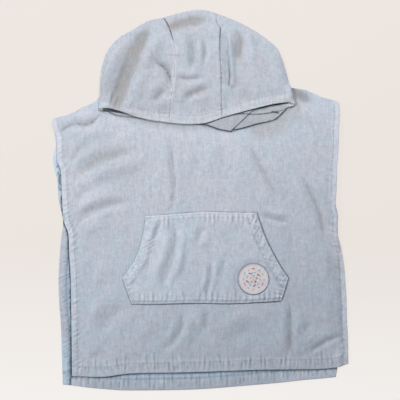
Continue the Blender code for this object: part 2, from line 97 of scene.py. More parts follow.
POCKET_LEFT_SIDE = [(-147, -224), (-157, -197), (-167, -168)]
POCKET_LEFT_OPENING = [(-167, -168), (-137, -122), (-121, -65), (-118, -35)]
POCKET_RIGHT_SIDE = [(175, -217), (182, -195), (190, -168)]
POCKET_RIGHT_OPENING = [(190, -168), (167, -133), (140, -80), (122, -28)]
POCKET_BOTTOM = [(-147, -224), (-84, -224), (-11, -222), (67, -223), (133, -220), (175, -217)]
POCKET_TOP = [(-118, -35), (-77, -32), (7, -26), (65, -27), (122, -28)]

# ---- hood: one row for each section, with x, y and z of the brim, of the rim where the cloth turns under
# (left out where it doesn't) and of the neck
CROWN_DEPTH = 240.0
HOOD_LEFT = [
    (118, 197, 6.6, 66.5, 148, 6.6),
    (69, 197, 6.6, 41, 152.5, 5.4),
    (26, 197, 4.6, 15, 162, 3.9),
    (-17, 195, 3.9, -17, 166.5, 3.9),
    (-60, 194, 3.9, -60, 169.5, 3.9),
    (-104, 194, 3.9, -104, 174, 3.9),
    (-140, 196, 3.9, -140, 178.5, 3.9),
    (-170, 199, 3.9, -170, 181.5, 3.9),
    (-182, 201, 3.9, -183, 184, 3.9),
    (-192, 203, 6.0, -194, 189, 6.0),
    (-215, 196, 9.8, -217, 197, 9.8, -203, 197, 6.6),
    (-202, 198, 10.2, -217, 208, 9.8, -206.5, 208, 6.6),
    (-183, 195, 10.0, -216.5, 226, 9.6, -209, 218, 6.6),
    (-159, 187, 9.2, -216, 248, 9.8, -211.5, 229.5, 6.9),
    (-140, 180, 8.6, -215, 268, 6.4, -196, 222, 1.5),
    (-122, 175.5, 8.4, -211, 291, 5.2, -175, 216, 1.2),
    (-108, 172, 8.2, -199, 324, 5.0, -152, 212, 1.2),
    (-96, 170, 8.2, -175, 351, 5.0, -130, 209.5, 1.2),
    (-86, 169, 8.2, -147, 367, 5.0, -109, 208.5, 1.2),
    (-76, 167.5, 8.2, -112, 387, 5.0, -89, 207.5, 1.2),
    (-66, 166, 8.2, -79, 394, 5.0, -70, 207, 1.2)]
HOOD_CENTRE = [
    HOOD_LEFT[-1],
    (-28, 163, 8.2, -46, 404, 5.0, -36, 207, 1.2),
    (9, 165, 8.3, -8, 411, 5.0, -3, 207, 1.2),
    (30, 171, 8.6, 16, 409, 5.0, 15, 207.5, 1.2),
    (47, 177, 9.2, 38, 402, 5.0, 32, 208, 1.2)]
HOOD_RIGHT = [
    HOOD_CENTRE[-1],
    (60, 181, 9.9, 65, 392, 5.0, 50, 209.5, 1.2),
    (74, 185, 10.4, 94, 379, 5.0, 69, 211.5, 1.2),
    (90, 189, 10.6, 122, 363, 5.0, 88, 214, 1.2),
    (106, 193.5, 10.8, 146, 346, 5.0, 106, 217, 1.2),
    (124, 198, 11.0, 166, 328, 5.0, 125, 220, 1.2),
    (140, 202, 11.0, 177, 306, 5.0, 142, 223.5, 1.2),
    (155, 205.5, 10.8, 185, 281, 5.2, 158, 227.5, 1.2),
    (170, 208, 10.6, 191, 258, 6.4, 171, 231.5, 1.5),
    (182, 209.5, 10.6, 196, 241, 10.9, 190.5, 243.5, 8.0),
    (192, 210, 10.4, 200, 223, 10.2, 190, 225, 7.0),
    (202, 205, 9.8, 204, 204, 9.8, 189, 207, 6.6),
    (178, 210, 6.2, 185, 195.5, 6.2),
    (167, 210, 3.9, 175, 185, 3.9),
    (157, 210, 3.9, 163, 174.5, 3.9),
    (148, 210, 3.9, 149, 170, 3.9),
    (122, 208, 3.9, 120, 163.5, 3.9),
    (98, 205, 3.9, 96, 156, 3.9),
    (74, 202, 3.9, 74, 151, 3.9)]

# ---- folds: rows of (height in mm, half width in mm, line in pixels of the photograph)
# A ridge has a positive height and stands alone. A trough has a negative one, and soft ridges beside it.
FRONT_RELIEF = [
    (2.4, 15, [(60, 127), (70, 119), (84, 115), (95, 109)]),
    (-2.4, 8, [(59, 136), (65.5, 127.5), (75.7, 124), (86.6, 125), (95.5, 119.5), (103, 114)]),
    (1.8, 14, [(72, 150), (84, 139), (98, 134), (118, 131)]),
    (-1.5, 5, [(69.5, 166), (75.8, 156.4), (82.5, 144)]),
    (1.4, 12, [(76, 166), (90, 153), (104, 149)]),
    (-1.9, 13, [(72, 184), (82.5, 172), (96, 162.5), (109, 157), (123, 153.5), (142, 147)]),
    (1.8, 15, [(78, 190), (92, 178), (110, 170), (132, 163), (150, 160)]),
    (-1.1, 10, [(74, 203), (80, 195), (92, 188)]),
    (2.2, 12, [(73, 213), (84, 206), (100, 196), (120, 189)]),
    (-1.8, 8, [(72, 227), (80, 217.7), (90, 212), (103.6, 207), (117, 203.3), (136, 200)]),
    (1.6, 14, [(80, 236), (95, 226), (112, 219)]),
    (-1.7, 4.8, [(168, 133), (171.6, 160), (173.5, 204), (162, 215)]),
    (1.2, 9, [(179, 137), (179, 165), (181, 192)]),
    (0.9, 8, [(162, 150), (162, 185)]),
    (-0.8, 7, [(196, 150), (197, 178)]),
    (0.9, 10, [(212, 140), (210, 176)]),
    (-0.8, 7, [(224, 144), (222, 172)]),
    (1.0, 10, [(237, 148), (240, 182)]),
    (-1.9, 7, [(246, 142), (256, 159.4), (264.8, 176.7), (275, 194), (279, 204)]),
    (1.2, 9, [(264, 158), (275, 172), (282, 186)]),
    (-1.7, 9, [(292, 100), (303, 98), (316, 104)]),
    (-3.0, 8, [(286, 86), (294, 91), (300, 95), (309, 99)]),
    (1.2, 12, [(296, 112), (310, 116), (326, 126)]),
    (1.6, 11, [(309, 172), (317, 188), (325, 206), (330, 226)]),
    (-2.1, 8, [(300, 172), (310, 192), (315, 202), (320.5, 214.4), (323, 230), (325, 244)]),
    (1.1, 10, [(292, 178), (301, 194), (309, 214)]),
    (-1.4, 6, [(258, 214), (268, 217), (277, 220), (289, 221.5)]),
    (1.0, 8, [(266, 211), (278, 214), (290, 216)]),
    (-1.2, 12, [(330, 252), (334, 270), (333, 288)]),
    (-2.3, 7, [(289.3, 300), (290.2, 330), (290, 360)]),
    (1.1, 10, [(300, 306), (301, 340)]),
    (-1.1, 9, [(309, 321), (303.5, 334)]),
    (-1.15, 5.0, [(304, 355), (319.6, 345.4), (333.7, 337.7), (347, 334)]),
    (1.4, 10, [(300, 345), (316, 337), (332, 329)]),
    (-1.8, 7, [(181.6, 310), (181, 327), (172, 343), (163, 351)]),
    (-1.5, 7, [(205.8, 309), (205, 334)]),
    (1.3, 10, [(190, 312), (190, 332), (186, 346)]),
    (-1.2, 13, [(97, 338), (106, 322), (118, 309), (131, 300)]),
    (1.4, 15, [(88, 322), (98, 306), (110, 295)]),
    (-0.9, 14, [(84, 300), (88, 275), (97, 256)]),
    (1.0, 16, [(104, 262), (101, 284)]),
    (-1.2, 10, [(88, 352), (96, 356), (108, 350)]),
    (-1.0, 14, [(220, 345), (238, 332), (258, 329)]),
    (1.0, 14, [(140, 338), (152, 326), (160, 314)]),
    (0.9, 14, [(226, 320), (250, 316), (270, 318)])]
HOOD_RELIEF = [
    (-5.0, 17.5, [(149, 18), (142, 38), (135.5, 52), (128, 72), (121, 88), (115, 102), (110, 114)]),
    (3.4, 15, [(118, 40), (110, 60), (103, 84), (103, 98)]),
    (2.6, 13, [(158, 30), (152, 48), (144, 64), (136, 84), (132, 100)]),
    (-1.6, 9, [(160, 33), (164, 45), (162, 56)]),
    (-3.0, 5.5, [(154, 61.5), (161, 65), (168, 72), (171, 88)]),
    (1.4, 8, [(152, 72), (158, 78), (162, 88)]),
    (-2.1, 9, [(153, 104), (158, 97), (165, 88.5)]),
    (-3.8, 13, [(160, 31), (170, 26), (182, 22), (196, 19.5), (211, 18)]),
    (1.2, 9, [(182, 34), (184, 48), (182, 62)]),
    (-2.4, 8, [(187, 33), (192, 46), (193, 60), (189, 72)]),
    (1.2, 7, [(198.5, 40), (199, 58), (200, 72)]),
    (-1.8, 5, [(203.5, 40), (205.3, 52), (204, 64)]),
    (-2.0, 5.5, [(174, 77), (189, 79.5), (205, 77.5)]),
    (-2.0, 6.5, [(183, 107), (187, 98), (197, 93), (214, 88)]),
    (1.3, 10, [(178, 88), (190, 88), (204, 84)]),
    (-2.3, 11, [(234, 27), (240.5, 40.7), (239.5, 56), (237, 66)]),
    (1.6, 10, [(246, 32), (252, 50), (252, 70)]),
    (-1.0, 14, [(262, 50), (266, 68), (262, 84)])]
TUCK_LEFT = [(220.4, 29), (219.2, 56), (221, 78.6), (221.8, 90)]      # the right seam, along the tuck
TUCK_RIGHT = [(222, 28), (226.7, 33.7), (228.1, 46.3), (229.5, 60.3), (230.9, 75.8), (229.5, 90)]
# Thin, sharp creases, darkened with painted shade: rows of (strength, half width in mm, line in pixels).
FRONT_LINES = [
    (0.75, 1.8, [(58.5, 135), (64, 129), (72, 124.5), (80, 124), (87, 125)]),
    (0.85, 1.6, [(80, 124.3), (88, 124.4), (93, 121.5), (97.5, 117), (103, 112.5)]),
    (0.45, 2.0, [(171, 130), (172.5, 145), (172.6, 160), (174.5, 176), (174.5, 190), (170, 200), (163, 207)]),
    (0.35, 2.2, [(76, 225), (83, 219), (92, 214)]),
    (0.25, 2.0, [(75, 158), (79, 150)]),
    (0.3, 1.6, [(247, 143), (256, 157), (264, 172), (271, 184)]),
    (0.3, 1.8, [(258, 214.5), (268, 217.5), (278, 220), (290, 221)]),
    (0.45, 1.8, [(303, 176), (308, 189), (314, 201), (319, 214), (322, 228), (323, 242)]),
    (0.55, 1.7, [(289.5, 300), (290.3, 325), (290, 356)]),
    (0.4, 1.9, [(305, 354), (318, 346.5), (332, 338.5), (344, 334.5)]),
    (0.35, 1.8, [(181.4, 312), (181.6, 325), (178, 336)]),
    (0.3, 1.6, [(206, 312), (205.6, 326)]),
    (0.25, 1.8, [(308, 322), (304, 333)])]
HOOD_LINES = [
    (0.95, 2.1, [(154.5, 62), (162, 66.2), (167.6, 72), (170.6, 79.4), (171.8, 90)]),
    (0.35, 1.9, [(156.5, 98.5), (160, 93.5), (165, 89)]),
    (0.3, 1.9, [(176, 77), (189, 79), (203, 78)]),
    (0.25, 2.2, [(187, 39), (192.5, 50), (192.8, 60), (189, 70)]),
    (0.3, 1.8, [(203.6, 43), (205.2, 50), (204.8, 58)]),
    (0.25, 2.0, [(184.6, 105), (188, 99), (194, 95)]),
    (0.3, 2.4, [(235, 28), (240.5, 41), (239.5, 56)])]
THROAT_LINES = [
    (1.0, 1.3, [(214, 117), (222, 116.4), (231, 115.2), (237, 114.4), (243.9, 113.9), (249, 114.2),
                (257.1, 114.2), (265.3, 113.5), (273.5, 112.2), (281.6, 110.4), (287.8, 108.4),
                (294.5, 105.6), (301, 102.5)]),
    (1.3, 1.5, [(270, 111.6), (273.5, 111.8), (276.5, 112.5), (280, 113.4)])]
# Lower edges of the slits under the brim, filled with painted shade.
SLIT_LEFT = [(99, 110.8), (103.3, 111.3), (109.4, 111.8), (117.6, 112.8), (124.7, 113.8), (130, 115.0)]
SLIT_RIGHT = [(236, 113.7), (249, 110.4), (261.2, 108.1), (271.4, 106.2), (281.6, 104.7), (290.3, 103.7),
              (298, 102.1)]
# Painted shade: greyer stretches in hollows and soft painted shadows beside the hood and below the throat, in
# rows of the same kind.
FRONT_SHADE_TONES = [
    (1.75, 21, [(246, 138), (258, 130), (270, 125), (283, 117), (292, 109), (300, 100)]),
    (1.0, 14, [(284, 82), (291, 88), (297, 93), (303, 97), (311, 101)]),
    (0.5, 42, [(58, 146), (84, 152), (106, 160), (126, 172), (146, 190)])]
FRONT_SHADOWS = [(0.36, 11, [(286, 84), (293, 90), (298, 94), (303, 97), (310, 100)])]
HOOD_SHADE_TONES = [
    (0.55, 22, [(162, 32), (172, 26), (184, 21), (197, 19), (210, 18)]),
    (0.45, 11, [(151, 12), (143, 36), (136, 52), (129, 70), (124, 82), (118, 100), (112, 116)]),
    (0.5, 12, [(128, 82), (124, 88), (121, 95), (117, 105), (114, 118)])]
# Painted shadow along the front panel's left edge, where it lies over the back panel.
BACK_LINES = [(0.95, 1.7, [(69.9, 352), (69.8, 364), (69.9, 376), (70.3, 386), (70.6, 398)])]
POCKET_LINES = [
    (0.5, 2.2, [(175, 226), (174.5, 240), (172.5, 252), (170, 262)]),
    (0.35, 1.8, [(203, 228), (198.5, 236.4), (197.5, 246)]),
    (0.6, 1.6, [(210.6, 260), (209.8, 277), (206.5, 292), (204, 299)]),
    (0.35, 1.6, [(162, 218), (158, 229), (154.5, 240)]),
    (0.25, 1.4, [(224, 258), (221, 280)]),
    (0.25, 1.3, [(234.5, 272), (236, 300)]),
    (0.25, 1.3, [(240.5, 294), (241, 301)]),
    (0.95, 1.4, [(264.2, 291), (264.3, 296), (264.8, 302)]),
    (0.25, 1.6, [(163, 275), (161, 291)])]
POCKET_RELIEF = [
    (-2.6, 7.5, [(176, 220), (174, 232), (174.5, 244), (171.5, 258), (166, 274), (160, 292)]),
    (2.2, 8, [(184, 230), (183, 246), (180, 264), (173, 282)]),
    (1.5, 8, [(166, 232), (164, 246), (160, 262), (152, 276)]),
    (-1.6, 7, [(206, 226), (199, 234), (196, 246)]),
    (1.0, 8, [(209, 234), (206, 248)]),
    (-2.3, 5, [(210.6, 260), (209.8, 277), (206.5, 292), (204, 299)]),
    (1.1, 7, [(216, 262), (216, 284)]),
    (-0.9, 6, [(224, 258), (221, 280)]),
    (-0.8, 5, [(236, 272), (238, 298)]),
    (-0.8, 10, [(226, 238), (236, 250)]),
    (-1.6, 5, [(161.5, 219), (158, 229), (154.5, 240)]),
    (-1.0, 7, [(150, 256), (147, 272), (146, 290)])]


# ---- curves and fields
def from_photo(line):
    """Pixels of the photograph as millimetres."""
    line = np.asarray(line, float)
    return np.column_stack([(line[:, 0] - PICTURE / 2) * PIXEL, (PICTURE / 2 - line[:, 1]) * PIXEL])


def photo_row(y):
    return PICTURE / 2 - y / PIXEL


def spline(rows, t):
    """Smooth curve or surface through the rows, at row numbers that may be fractions."""
    rows = np.asarray(rows, float)
    t = np.asarray(t, float)
    ends = np.concatenate([[2 * rows[0] - rows[1]], rows, [2 * rows[-1] - rows[-2]]])
    i = np.clip(np.floor(t).astype(int), 0, len(rows) - 2)
    f = (t - i).reshape((-1,) + (1,) * (rows.ndim - 1))
    before, start, end, after = ends[i], ends[i + 1], ends[i + 2], ends[i + 3]
    return 0.5 * (2 * start + (end - before) * f + (2 * before - 5 * start + 4 * end - after) * f ** 2
                  + (3 * start - before - 3 * end + after) * f ** 3)


def arc(points):
    """Length along a line of points, at each of them."""
    return np.concatenate([[0], np.cumsum(np.linalg.norm(np.diff(points, axis=0), axis=1))])


def dense(rows, steps=16):
    """Smooth curve through the rows, with this many steps between two of them."""
    return spline(rows, np.linspace(0, len(rows) - 1, steps * (len(rows) - 1) + 1))


def at_distances(points, distances):
    length = arc(points)
    return np.column_stack([np.interp(distances, length, column) for column in points.T])


def along(rows, distances):
    return at_distances(dense(rows), distances)


def curve_length(rows):
    return arc(dense(rows))[-1]


def edge_share(points):
    length = arc(points)
    return length / length[-1]


def beside(points, distance):
    """The line at a distance to the left of the given one."""
    heading = np.gradient(points, axis=0)
    heading /= np.linalg.norm(heading, axis=1)[:, None]
    return points + distance * np.column_stack([-heading[:, 1], heading[:, 0]])


def inset(rows, distance):
    return beside(dense(rows), distance)


def unit(vector):
    return vector / np.linalg.norm(vector)


def coons_patch(bottom, top, left, right, reach=1, top_reach=1):
    """Grid of points between four edges; bottom and top run left to right, left and right run upwards.

    A higher reach makes the shape of the sides fade faster inwards, a higher top_reach that of the top edge.
    """
    across = edge_share(bottom)[None, :, None]
    upward = edge_share(left)[:, None, None]
    straight_top = top[0] + (top[-1] - top[0]) * edge_share(bottom)[:, None]
    uneven_top = (top - straight_top) * np.array([0, 1])
    ruled = (1 - upward) * bottom[None] + upward * (top - uneven_top)[None] + upward ** top_reach * uneven_top
    from_left = left[:, None] - (1 - upward) * bottom[0] - upward * top[0]
    from_right = right[:, None] - (1 - upward) * bottom[-1] - upward * top[-1]
    return ruled + (1 - across) ** reach * from_left + across ** reach * from_right


def spacing(length, step, last=True):
    """Distances along an edge: even steps, and finer lines that round its start and perhaps its end."""
    end = EDGE_LINES if last else [0]
    free = length - EDGE_LINES[-1] - end[-1]
    inner = np.arange(1, max(2, round(free / step)))
    inner = EDGE_LINES[-1] + free * inner / (inner[-1] + 1)
    return np.concatenate([EDGE_LINES, inner, length - np.array(end)[::-1]])


def smooth_step(low, high, value):
    t = np.clip((np.asarray(value, float) - low) / (high - low), 0, 1)
    return t * t * (3 - 2 * t)


def bump(distance, half_width):
    return np.exp(-(distance / half_width) ** 2)


def soft_floor(height, softness):
    """The height where it is well above zero, eased to zero below."""
    return 0.5 * (height + np.sqrt(height ** 2 + softness))


def highest(*fields):
    return reduce(np.maximum, fields)


def to_line(x, y, line):
    """Distance to a line of points, signed positive on its left, and the length along it, at each point."""
    line = np.asarray(line, float)
    length = arc(line)
    nearest = np.full(np.shape(x), np.inf)
    sign = np.ones(np.shape(x))
    place = np.zeros(np.shape(x))
    for start, end, s0, s1 in zip(line[:-1], line[1:], length[:-1], length[1:]):
        step = end - start
        if not step.any():
            continue
        t = np.clip(((x - start[0]) * step[0] + (y - start[1]) * step[1]) / (step @ step), 0, 1)
        dx, dy = x - start[0] - t * step[0], y - start[1] - t * step[1]
        distance = np.hypot(dx, dy)
        closer = distance < nearest
        nearest = np.where(closer, distance, nearest)
        sign = np.where(closer, np.where(step[0] * dy - step[1] * dx >= 0, 1.0, -1.0), sign)
        place = np.where(closer, s0 + t * (s1 - s0), place)
    return nearest * sign, place


def off_line(x, y, line):
    """Distance to a line of points, without its sign."""
    return np.abs(to_line(x, y, line)[0])


def off_edge(x, y, rows):
    return off_line(x, y, dense(rows))


def to_photo_line(x, y, line, steps=16):
    """Signed distance to a line of the photograph, length along it, and the same as a share of the whole."""
    line = dense(from_photo(line), steps)
    signed, place = to_line(x, y, line)
    return signed, place, place / arc(line)[-1]


def relief(x, y, rows):
    """Height that the folds add at each point, fading at both ends of each fold."""
    total = np.zeros(np.shape(x))
    for height, half_width, line in rows:
        signed, _, share = to_photo_line(x, y, line, 4)
        fade = 0.1 + 0.9 * smooth_step(0, 0.32, share) * smooth_step(0, 0.32, 1 - share)
        distance = np.abs(signed)
        shape = bump(distance, half_width)
        if height < 0:
            shape = 0.4 * bump(distance - 2.1 * half_width, half_width) - shape
        total += abs(height) * fade * shape
    return total


def fine_lines(x, y, rows):
    """Strength of thin, sharp creases or of greyer stretches, both painted shade, from their rows."""
    total = np.zeros(np.shape(x))
    for strength, half_width, line in rows:
        signed, place, share = to_photo_line(x, y, line)
        fade = smooth_step(-0.02, 0.25, share) * smooth_step(-0.02, 0.25, 1 - share)
        seed = int(abs(from_photo(line)[0, 0])) % 50
        uneven = 0.8 + 0.35 * value_noise(place, place, 9, 9, seed)
        total = np.maximum(total, strength * fade * uneven * bump(signed, half_width))
    return total


def value_noise(x, y, size_x, size_y, seed):
    """Smooth random heights from -1 to 1 with features of the given size."""
    table = np.random.RandomState(seed).uniform(-1, 1, (NOISE_CELLS, NOISE_CELLS))
    u, v = x / size_x + NOISE_ORIGIN, y / size_y + NOISE_ORIGIN
    i, j = np.floor(u).astype(int), np.floor(v).astype(int)
    fu, fv = u - i, v - j
    fu, fv = fu * fu * (3 - 2 * fu), fv * fv * (3 - 2 * fv)
    i, j, i1, j1 = i % NOISE_CELLS, j % NOISE_CELLS, (i + 1) % NOISE_CELLS, (j + 1) % NOISE_CELLS
    return ((table[i, j] * (1 - fu) + table[i1, j] * fu) * (1 - fv)
            + (table[i, j1] * (1 - fu) + table[i1, j1] * fu) * fv)


def waves(x, y, rows):
    """Slow waves: the sum of noises, from rows of (height, size along x, size along y, seed)."""
    return sum(height * value_noise(x, y, *sizes_and_seed) for height, *sizes_and_seed in rows)


def puckers(place, depth, reach, pitch, height, seed, slant=0.0):
    """Uneven small ridges across a hem, strongest near its stitching, at the reach from the edge."""
    draw = np.random.RandomState(seed)
    total = np.zeros(np.shape(place))
    at = place.min()
    while at < place.max():
        at += pitch * draw.uniform(0.6, 1.4)
        tall, wide = height * draw.uniform(0.3, 1.3), pitch * draw.uniform(0.2, 0.32)
        lean, long = slant + draw.uniform(-0.15, 0.15), reach * draw.uniform(0.75, 1.35)
        middle = place - at - lean * (depth - reach * 0.5)
        total += tall * (bump(middle, wide) - 0.8 * bump(middle - 0.5 * pitch, 0.75 * wide)) * (
            (0.3 + 0.7 * smooth_step(0.5, 0.6 * reach, depth))
            * (1 - smooth_step(0.8 * long, 1.5 * long, depth)))
    return total


# ---- from grids to closed cloth
def grid_normals(grid):
    normal = np.cross(np.gradient(grid, axis=1), np.gradient(grid, axis=0))
    return normal / np.maximum(np.linalg.norm(normal, axis=2), 1e-9)[..., None]


def grid_arc(grid, axis):
    """Length along the lines of a grid, at each of its points."""
    steps = np.linalg.norm(np.diff(grid, axis=axis), axis=2)
    return np.concatenate([np.zeros_like(steps.take([0], axis)), np.cumsum(steps, axis=axis)], axis=axis)


def border_distance(grid):
    """Distance along the lines of a grid to its nearest border, across and upward."""
    across, upward = grid_arc(grid, 1), grid_arc(grid, 0)
    return np.minimum(across, across[:, -1:] - across), np.minimum(upward, upward[-1:] - upward)


def rounded(distance, radius):
    """Share of the full half thickness at a distance from a rounded edge."""
    return np.sqrt(np.clip(1 - (1 - np.clip(distance / radius, 0, 1)) ** 2, 0, 1))


def placed(name, data):
    """New object with this data, put into the scene."""
    thing = bpy.data.objects.new(name, data)
    bpy.context.scene.collection.objects.link(thing)
    return thing


def mesh_piece(name, points, faces, materials, smooth=True, **fields):
    """Object from points in raw millimetres, faces by point numbers, and point attributes from 0 to 1."""
    mesh = bpy.data.meshes.new(name)
    mesh.from_pydata(((np.asarray(points) + SHIFT) * METRE).tolist(), [], faces)
    for material in materials:
        mesh.materials.append(material)
    if smooth:
        mesh.shade_smooth()
    for label, values in fields.items():
        attribute = mesh.attributes.new(label, "FLOAT", "POINT")
        attribute.data.foreach_set("value", np.clip(values, 0, 1).astype(np.float32))
    return placed(name, mesh)


def closed_cloth(name, material, middle, half, proud, shade, valley, bright, normal=None):
    """Closed shell about a grid of mid points: half is zero at the border, and proud raises the upper side.

    The attributes go to the material: shade, painted shade in crevices and along contact lines; valley,
    painted shade on the low side of folds (on the back panel, the hems' own tone); and bright, painted
    highlights on raised edges that catch the light, and lighter stretches.
    """
    rows, columns = middle.shape[:2]
    normal = grid_normals(middle) if normal is None else normal
    upper = middle + normal * (half + proud * (half > 0))[..., None]
    lower = middle - normal * half[..., None]
    upper_index = np.arange(rows * columns).reshape(rows, columns)
    lower_index = upper_index.copy()
    inner = (rows - 2) * (columns - 2)
    lower_index[1:-1, 1:-1] = rows * columns + np.arange(inner).reshape(rows - 2, columns - 2)
    points = np.concatenate([upper.reshape(-1, 3), lower[1:-1, 1:-1].reshape(-1, 3)])

    def quads(index):
        return np.stack([index[:-1, :-1], index[:-1, 1:], index[1:, 1:], index[1:, :-1]], axis=-1)

    def over_all_points(values):
        return np.concatenate([np.broadcast_to(values, (rows, columns)).reshape(-1), np.zeros(inner)])

    faces = np.concatenate([quads(upper_index).reshape(-1, 4), quads(lower_index)[..., ::-1].reshape(-1, 4)])
    return mesh_piece(name, points, faces.tolist(), [material], shade=over_all_points(shade),
                      valley=over_all_points(valley), bright=over_all_points(bright))


def flat_cloth(name, material, flat, edge, base, hem, radius, *fields):
    """Closed cloth that lies over a flat grid at a base height, thicker where it is hemmed."""
    thick = hem_thickness(hem)
    middle = np.dstack([flat, base + thick / 2])
    return closed_cloth(name, material, middle, thick / 2 * rounded(edge, radius), *fields, UP)


def hem_thickness(hem):
    return CLOTH + (HEM - CLOTH) * hem


# ---- materials
# Tints: painted shade in crevices and along contact lines, painted shade on the low side of folds, painted
# highlights on raised edges, a bluer tone towards the bottom, and painted shade towards the lower right.
CREVICE_SHADE_TINT = (0.07, 0.09, 0.12)
FOLD_SHADE_TINT = (0.83, 0.80, 0.765)
BRIGHT_TINT = (1.34, 1.3, 1.27)
LOWER_TINT, FALLOFF_SHADE_TINT = (0.975, 1.008, 1.03), (0.92, 0.92, 0.92)
COTTON_TONE = (0.72, 0.69, 0.70)


class Nodes:
    """Short way to lay out the node tree of a new material."""

    def __init__(self, name):
        self.material = bpy.data.materials.new(name)
        self.material.use_nodes = True
        self.tree = self.material.node_tree
        self.shader = self.tree.nodes["Principled BSDF"]
        self.position = self.add("TexCoord").outputs["Object"]

    def feed(self, node, inputs):
        """Link or set inputs of a node, by name or number."""
        for key, value in inputs.items():
            if isinstance(value, bpy.types.NodeSocket):
                self.tree.links.new(value, node.inputs[key])
            else:
                node.inputs[key].default_value = value

    def finish(self, **inputs):
        """Feed the shader, with _ for the spaces in the names of its inputs."""
        self.feed(self.shader, {key.replace("_", " "): value for key, value in inputs.items()})
        return self.material

    def add(self, kind, inputs={}, **settings):
        node = self.tree.nodes.new("ShaderNode" + kind)
        for key, value in settings.items():
            setattr(node, key, value)
        self.feed(node, inputs)
        return node

    def noise(self, scale, detail=2.0, roughness=0.5, stretch=None):
        """Noise over the object, finer along an axis where the stretch is larger."""
        vector = self.stretched(*stretch) if stretch else self.position
        return self.add("TexNoise", {"Vector": vector, "Scale": scale, "Detail": detail,
                                     "Roughness": roughness}).outputs["Fac"]

    def stretched(self, x, y, z):
        return self.add("Mapping", {"Vector": self.position, "Scale": (x, y, z)}).outputs["Vector"]

    def ramp(self, value, low, high, start=0.0, end=1.0):
        return self.add("MapRange", {"Value": value, "From Min": low, "From Max": high, "To Min": start,
                                     "To Max": end}).outputs["Result"]

    def math(self, operation, first, second=0.0):
        return self.add("Math", {0: first, 1: second}, operation=operation).outputs[0]

    def attribute(self, label):
        return self.add("Attribute", attribute_name=label).outputs["Fac"]

    def mix(self, share, first, second, blend="MIX"):
        return self.add("Mix", {0: share, 6: first, 7: second}, data_type="RGBA", blend_type=blend).outputs[2]

    def tinted(self, share, tone, tint):
        """The tone, multiplied by the tint as far as the share says."""
        return self.mix(share, tone, self.mix(1.0, tone, (*tint, 1), "MULTIPLY"))

    def bump(self, height, strength, distance):
        inputs = {"Height": height, "Strength": strength, "Distance": distance}
        return self.add("Bump", inputs).outputs["Normal"]


def cloth_material(name, cool, warm, loops=0.0, streaks=0.8, sheen=0.15, low_tint=FOLD_SHADE_TINT, painted_falloff=False):
    """Towelling: blotches of a cooler and a warmer tone, warp lines, pile, and painted shade and highlights.
    """
    n = Nodes(name)
    tone = n.mix(n.ramp(n.noise(26.0, 4.0, 0.6), 0.36, 0.64), (*cool, 1), (*warm, 1))
    fine_blotch = n.noise(110.0, 3.0, 0.6)
    warp = n.noise(1.0, 3.0, 0.65, (330.0, 55.0, 300.0))
    weft = n.noise(1.0, 2.0, 0.6, (70.0, 380.0, 300.0))
    pile = n.noise(520.0, 3.0, 0.7)
    light = n.ramp(warp, 0.3, 0.7, -0.11 * streaks, 0.11 * streaks)
    for field, spread in ((pile, 0.12), (weft, 0.035), (fine_blotch, 0.07)):
        light = n.math("ADD", light, n.ramp(field, 0.3, 0.7, -spread, spread))
    light = n.math("ADD", light, 1.0)
    grey = n.add("CombineColor", {0: light, 1: light, 2: light}).outputs[0]
    tone = n.mix(1.0, tone, grey, "MULTIPLY")
    if painted_falloff:
        # Painted shade darkens the cloth towards the lower right, away from the key light; the cloth is also
        # a little bluer towards the bottom.
        place = n.add("SeparateXYZ", {0: n.position}).outputs
        tone = n.tinted(n.ramp(place[1], 0.02, -0.25), tone, LOWER_TINT)
        slant = n.math("SUBTRACT", n.math("MULTIPLY", place[0], 0.75), n.math("MULTIPLY", place[1], 0.6))
        tone = n.tinted(n.ramp(slant, 0.0, 0.42), tone, FALLOFF_SHADE_TINT)
    # Point attributes: valley tints the low side of folds with painted shade (on the inner face, the hems
    # with their own tone), bright adds painted highlights and lighter stretches, and shade paints shade in
    # crevices.
    tone = n.tinted(n.attribute("valley"), tone, low_tint)
    tone = n.tinted(n.attribute("bright"), tone, BRIGHT_TINT)
    dark = (*[share * factor for share, factor in zip(cool, CREVICE_SHADE_TINT)], 1)
    tone = n.mix(n.attribute("shade"), tone, dark)
    loop = n.add("TexVoronoi", {"Vector": n.stretched(560.0, 480.0, 520.0), "Scale": 1.0,
                                "Randomness": 0.8}).outputs["Distance"]
    height = n.math("ADD", n.math("MULTIPLY", pile, 0.5), n.math("MULTIPLY", warp, 0.6 * streaks))
    height = n.math("SUBTRACT", height, n.math("MULTIPLY", loop, loops))
    return n.finish(Base_Color=tone, Normal=n.bump(height, 0.55, 0.0009),
                    Roughness=n.ramp(pile, 0.3, 0.7, 0.88), Specular_IOR_Level=0.15,
                    Sheen_Weight=sheen, Sheen_Roughness=0.55)


def thread_material(name, colour):
    """Sewing thread with a fine twist."""
    n = Nodes(name)
    twist = n.noise(1.0, stretch=(2400.0, 2400.0, 2400.0))
    tone = n.mix(n.ramp(twist, 0.3, 0.7), (*[c * 0.8 for c in colour], 1), (*[c * 1.15 for c in colour], 1))
    return n.finish(Base_Color=tone, Normal=n.bump(twist, 0.4, 0.0002), Roughness=0.6)


def print_material(name, colour):
    """Soft printed ink in which the weave still shows."""
    n = Nodes(name)
    weave = n.noise(1.0, stretch=(1500.0, 1500.0, 500.0))
    tone = n.mix(n.ramp(weave, 0.35, 0.65, 0.0, 0.35), (*colour, 1), (*COTTON_TONE, 1))
    return n.finish(Base_Color=tone, Roughness=0.8)


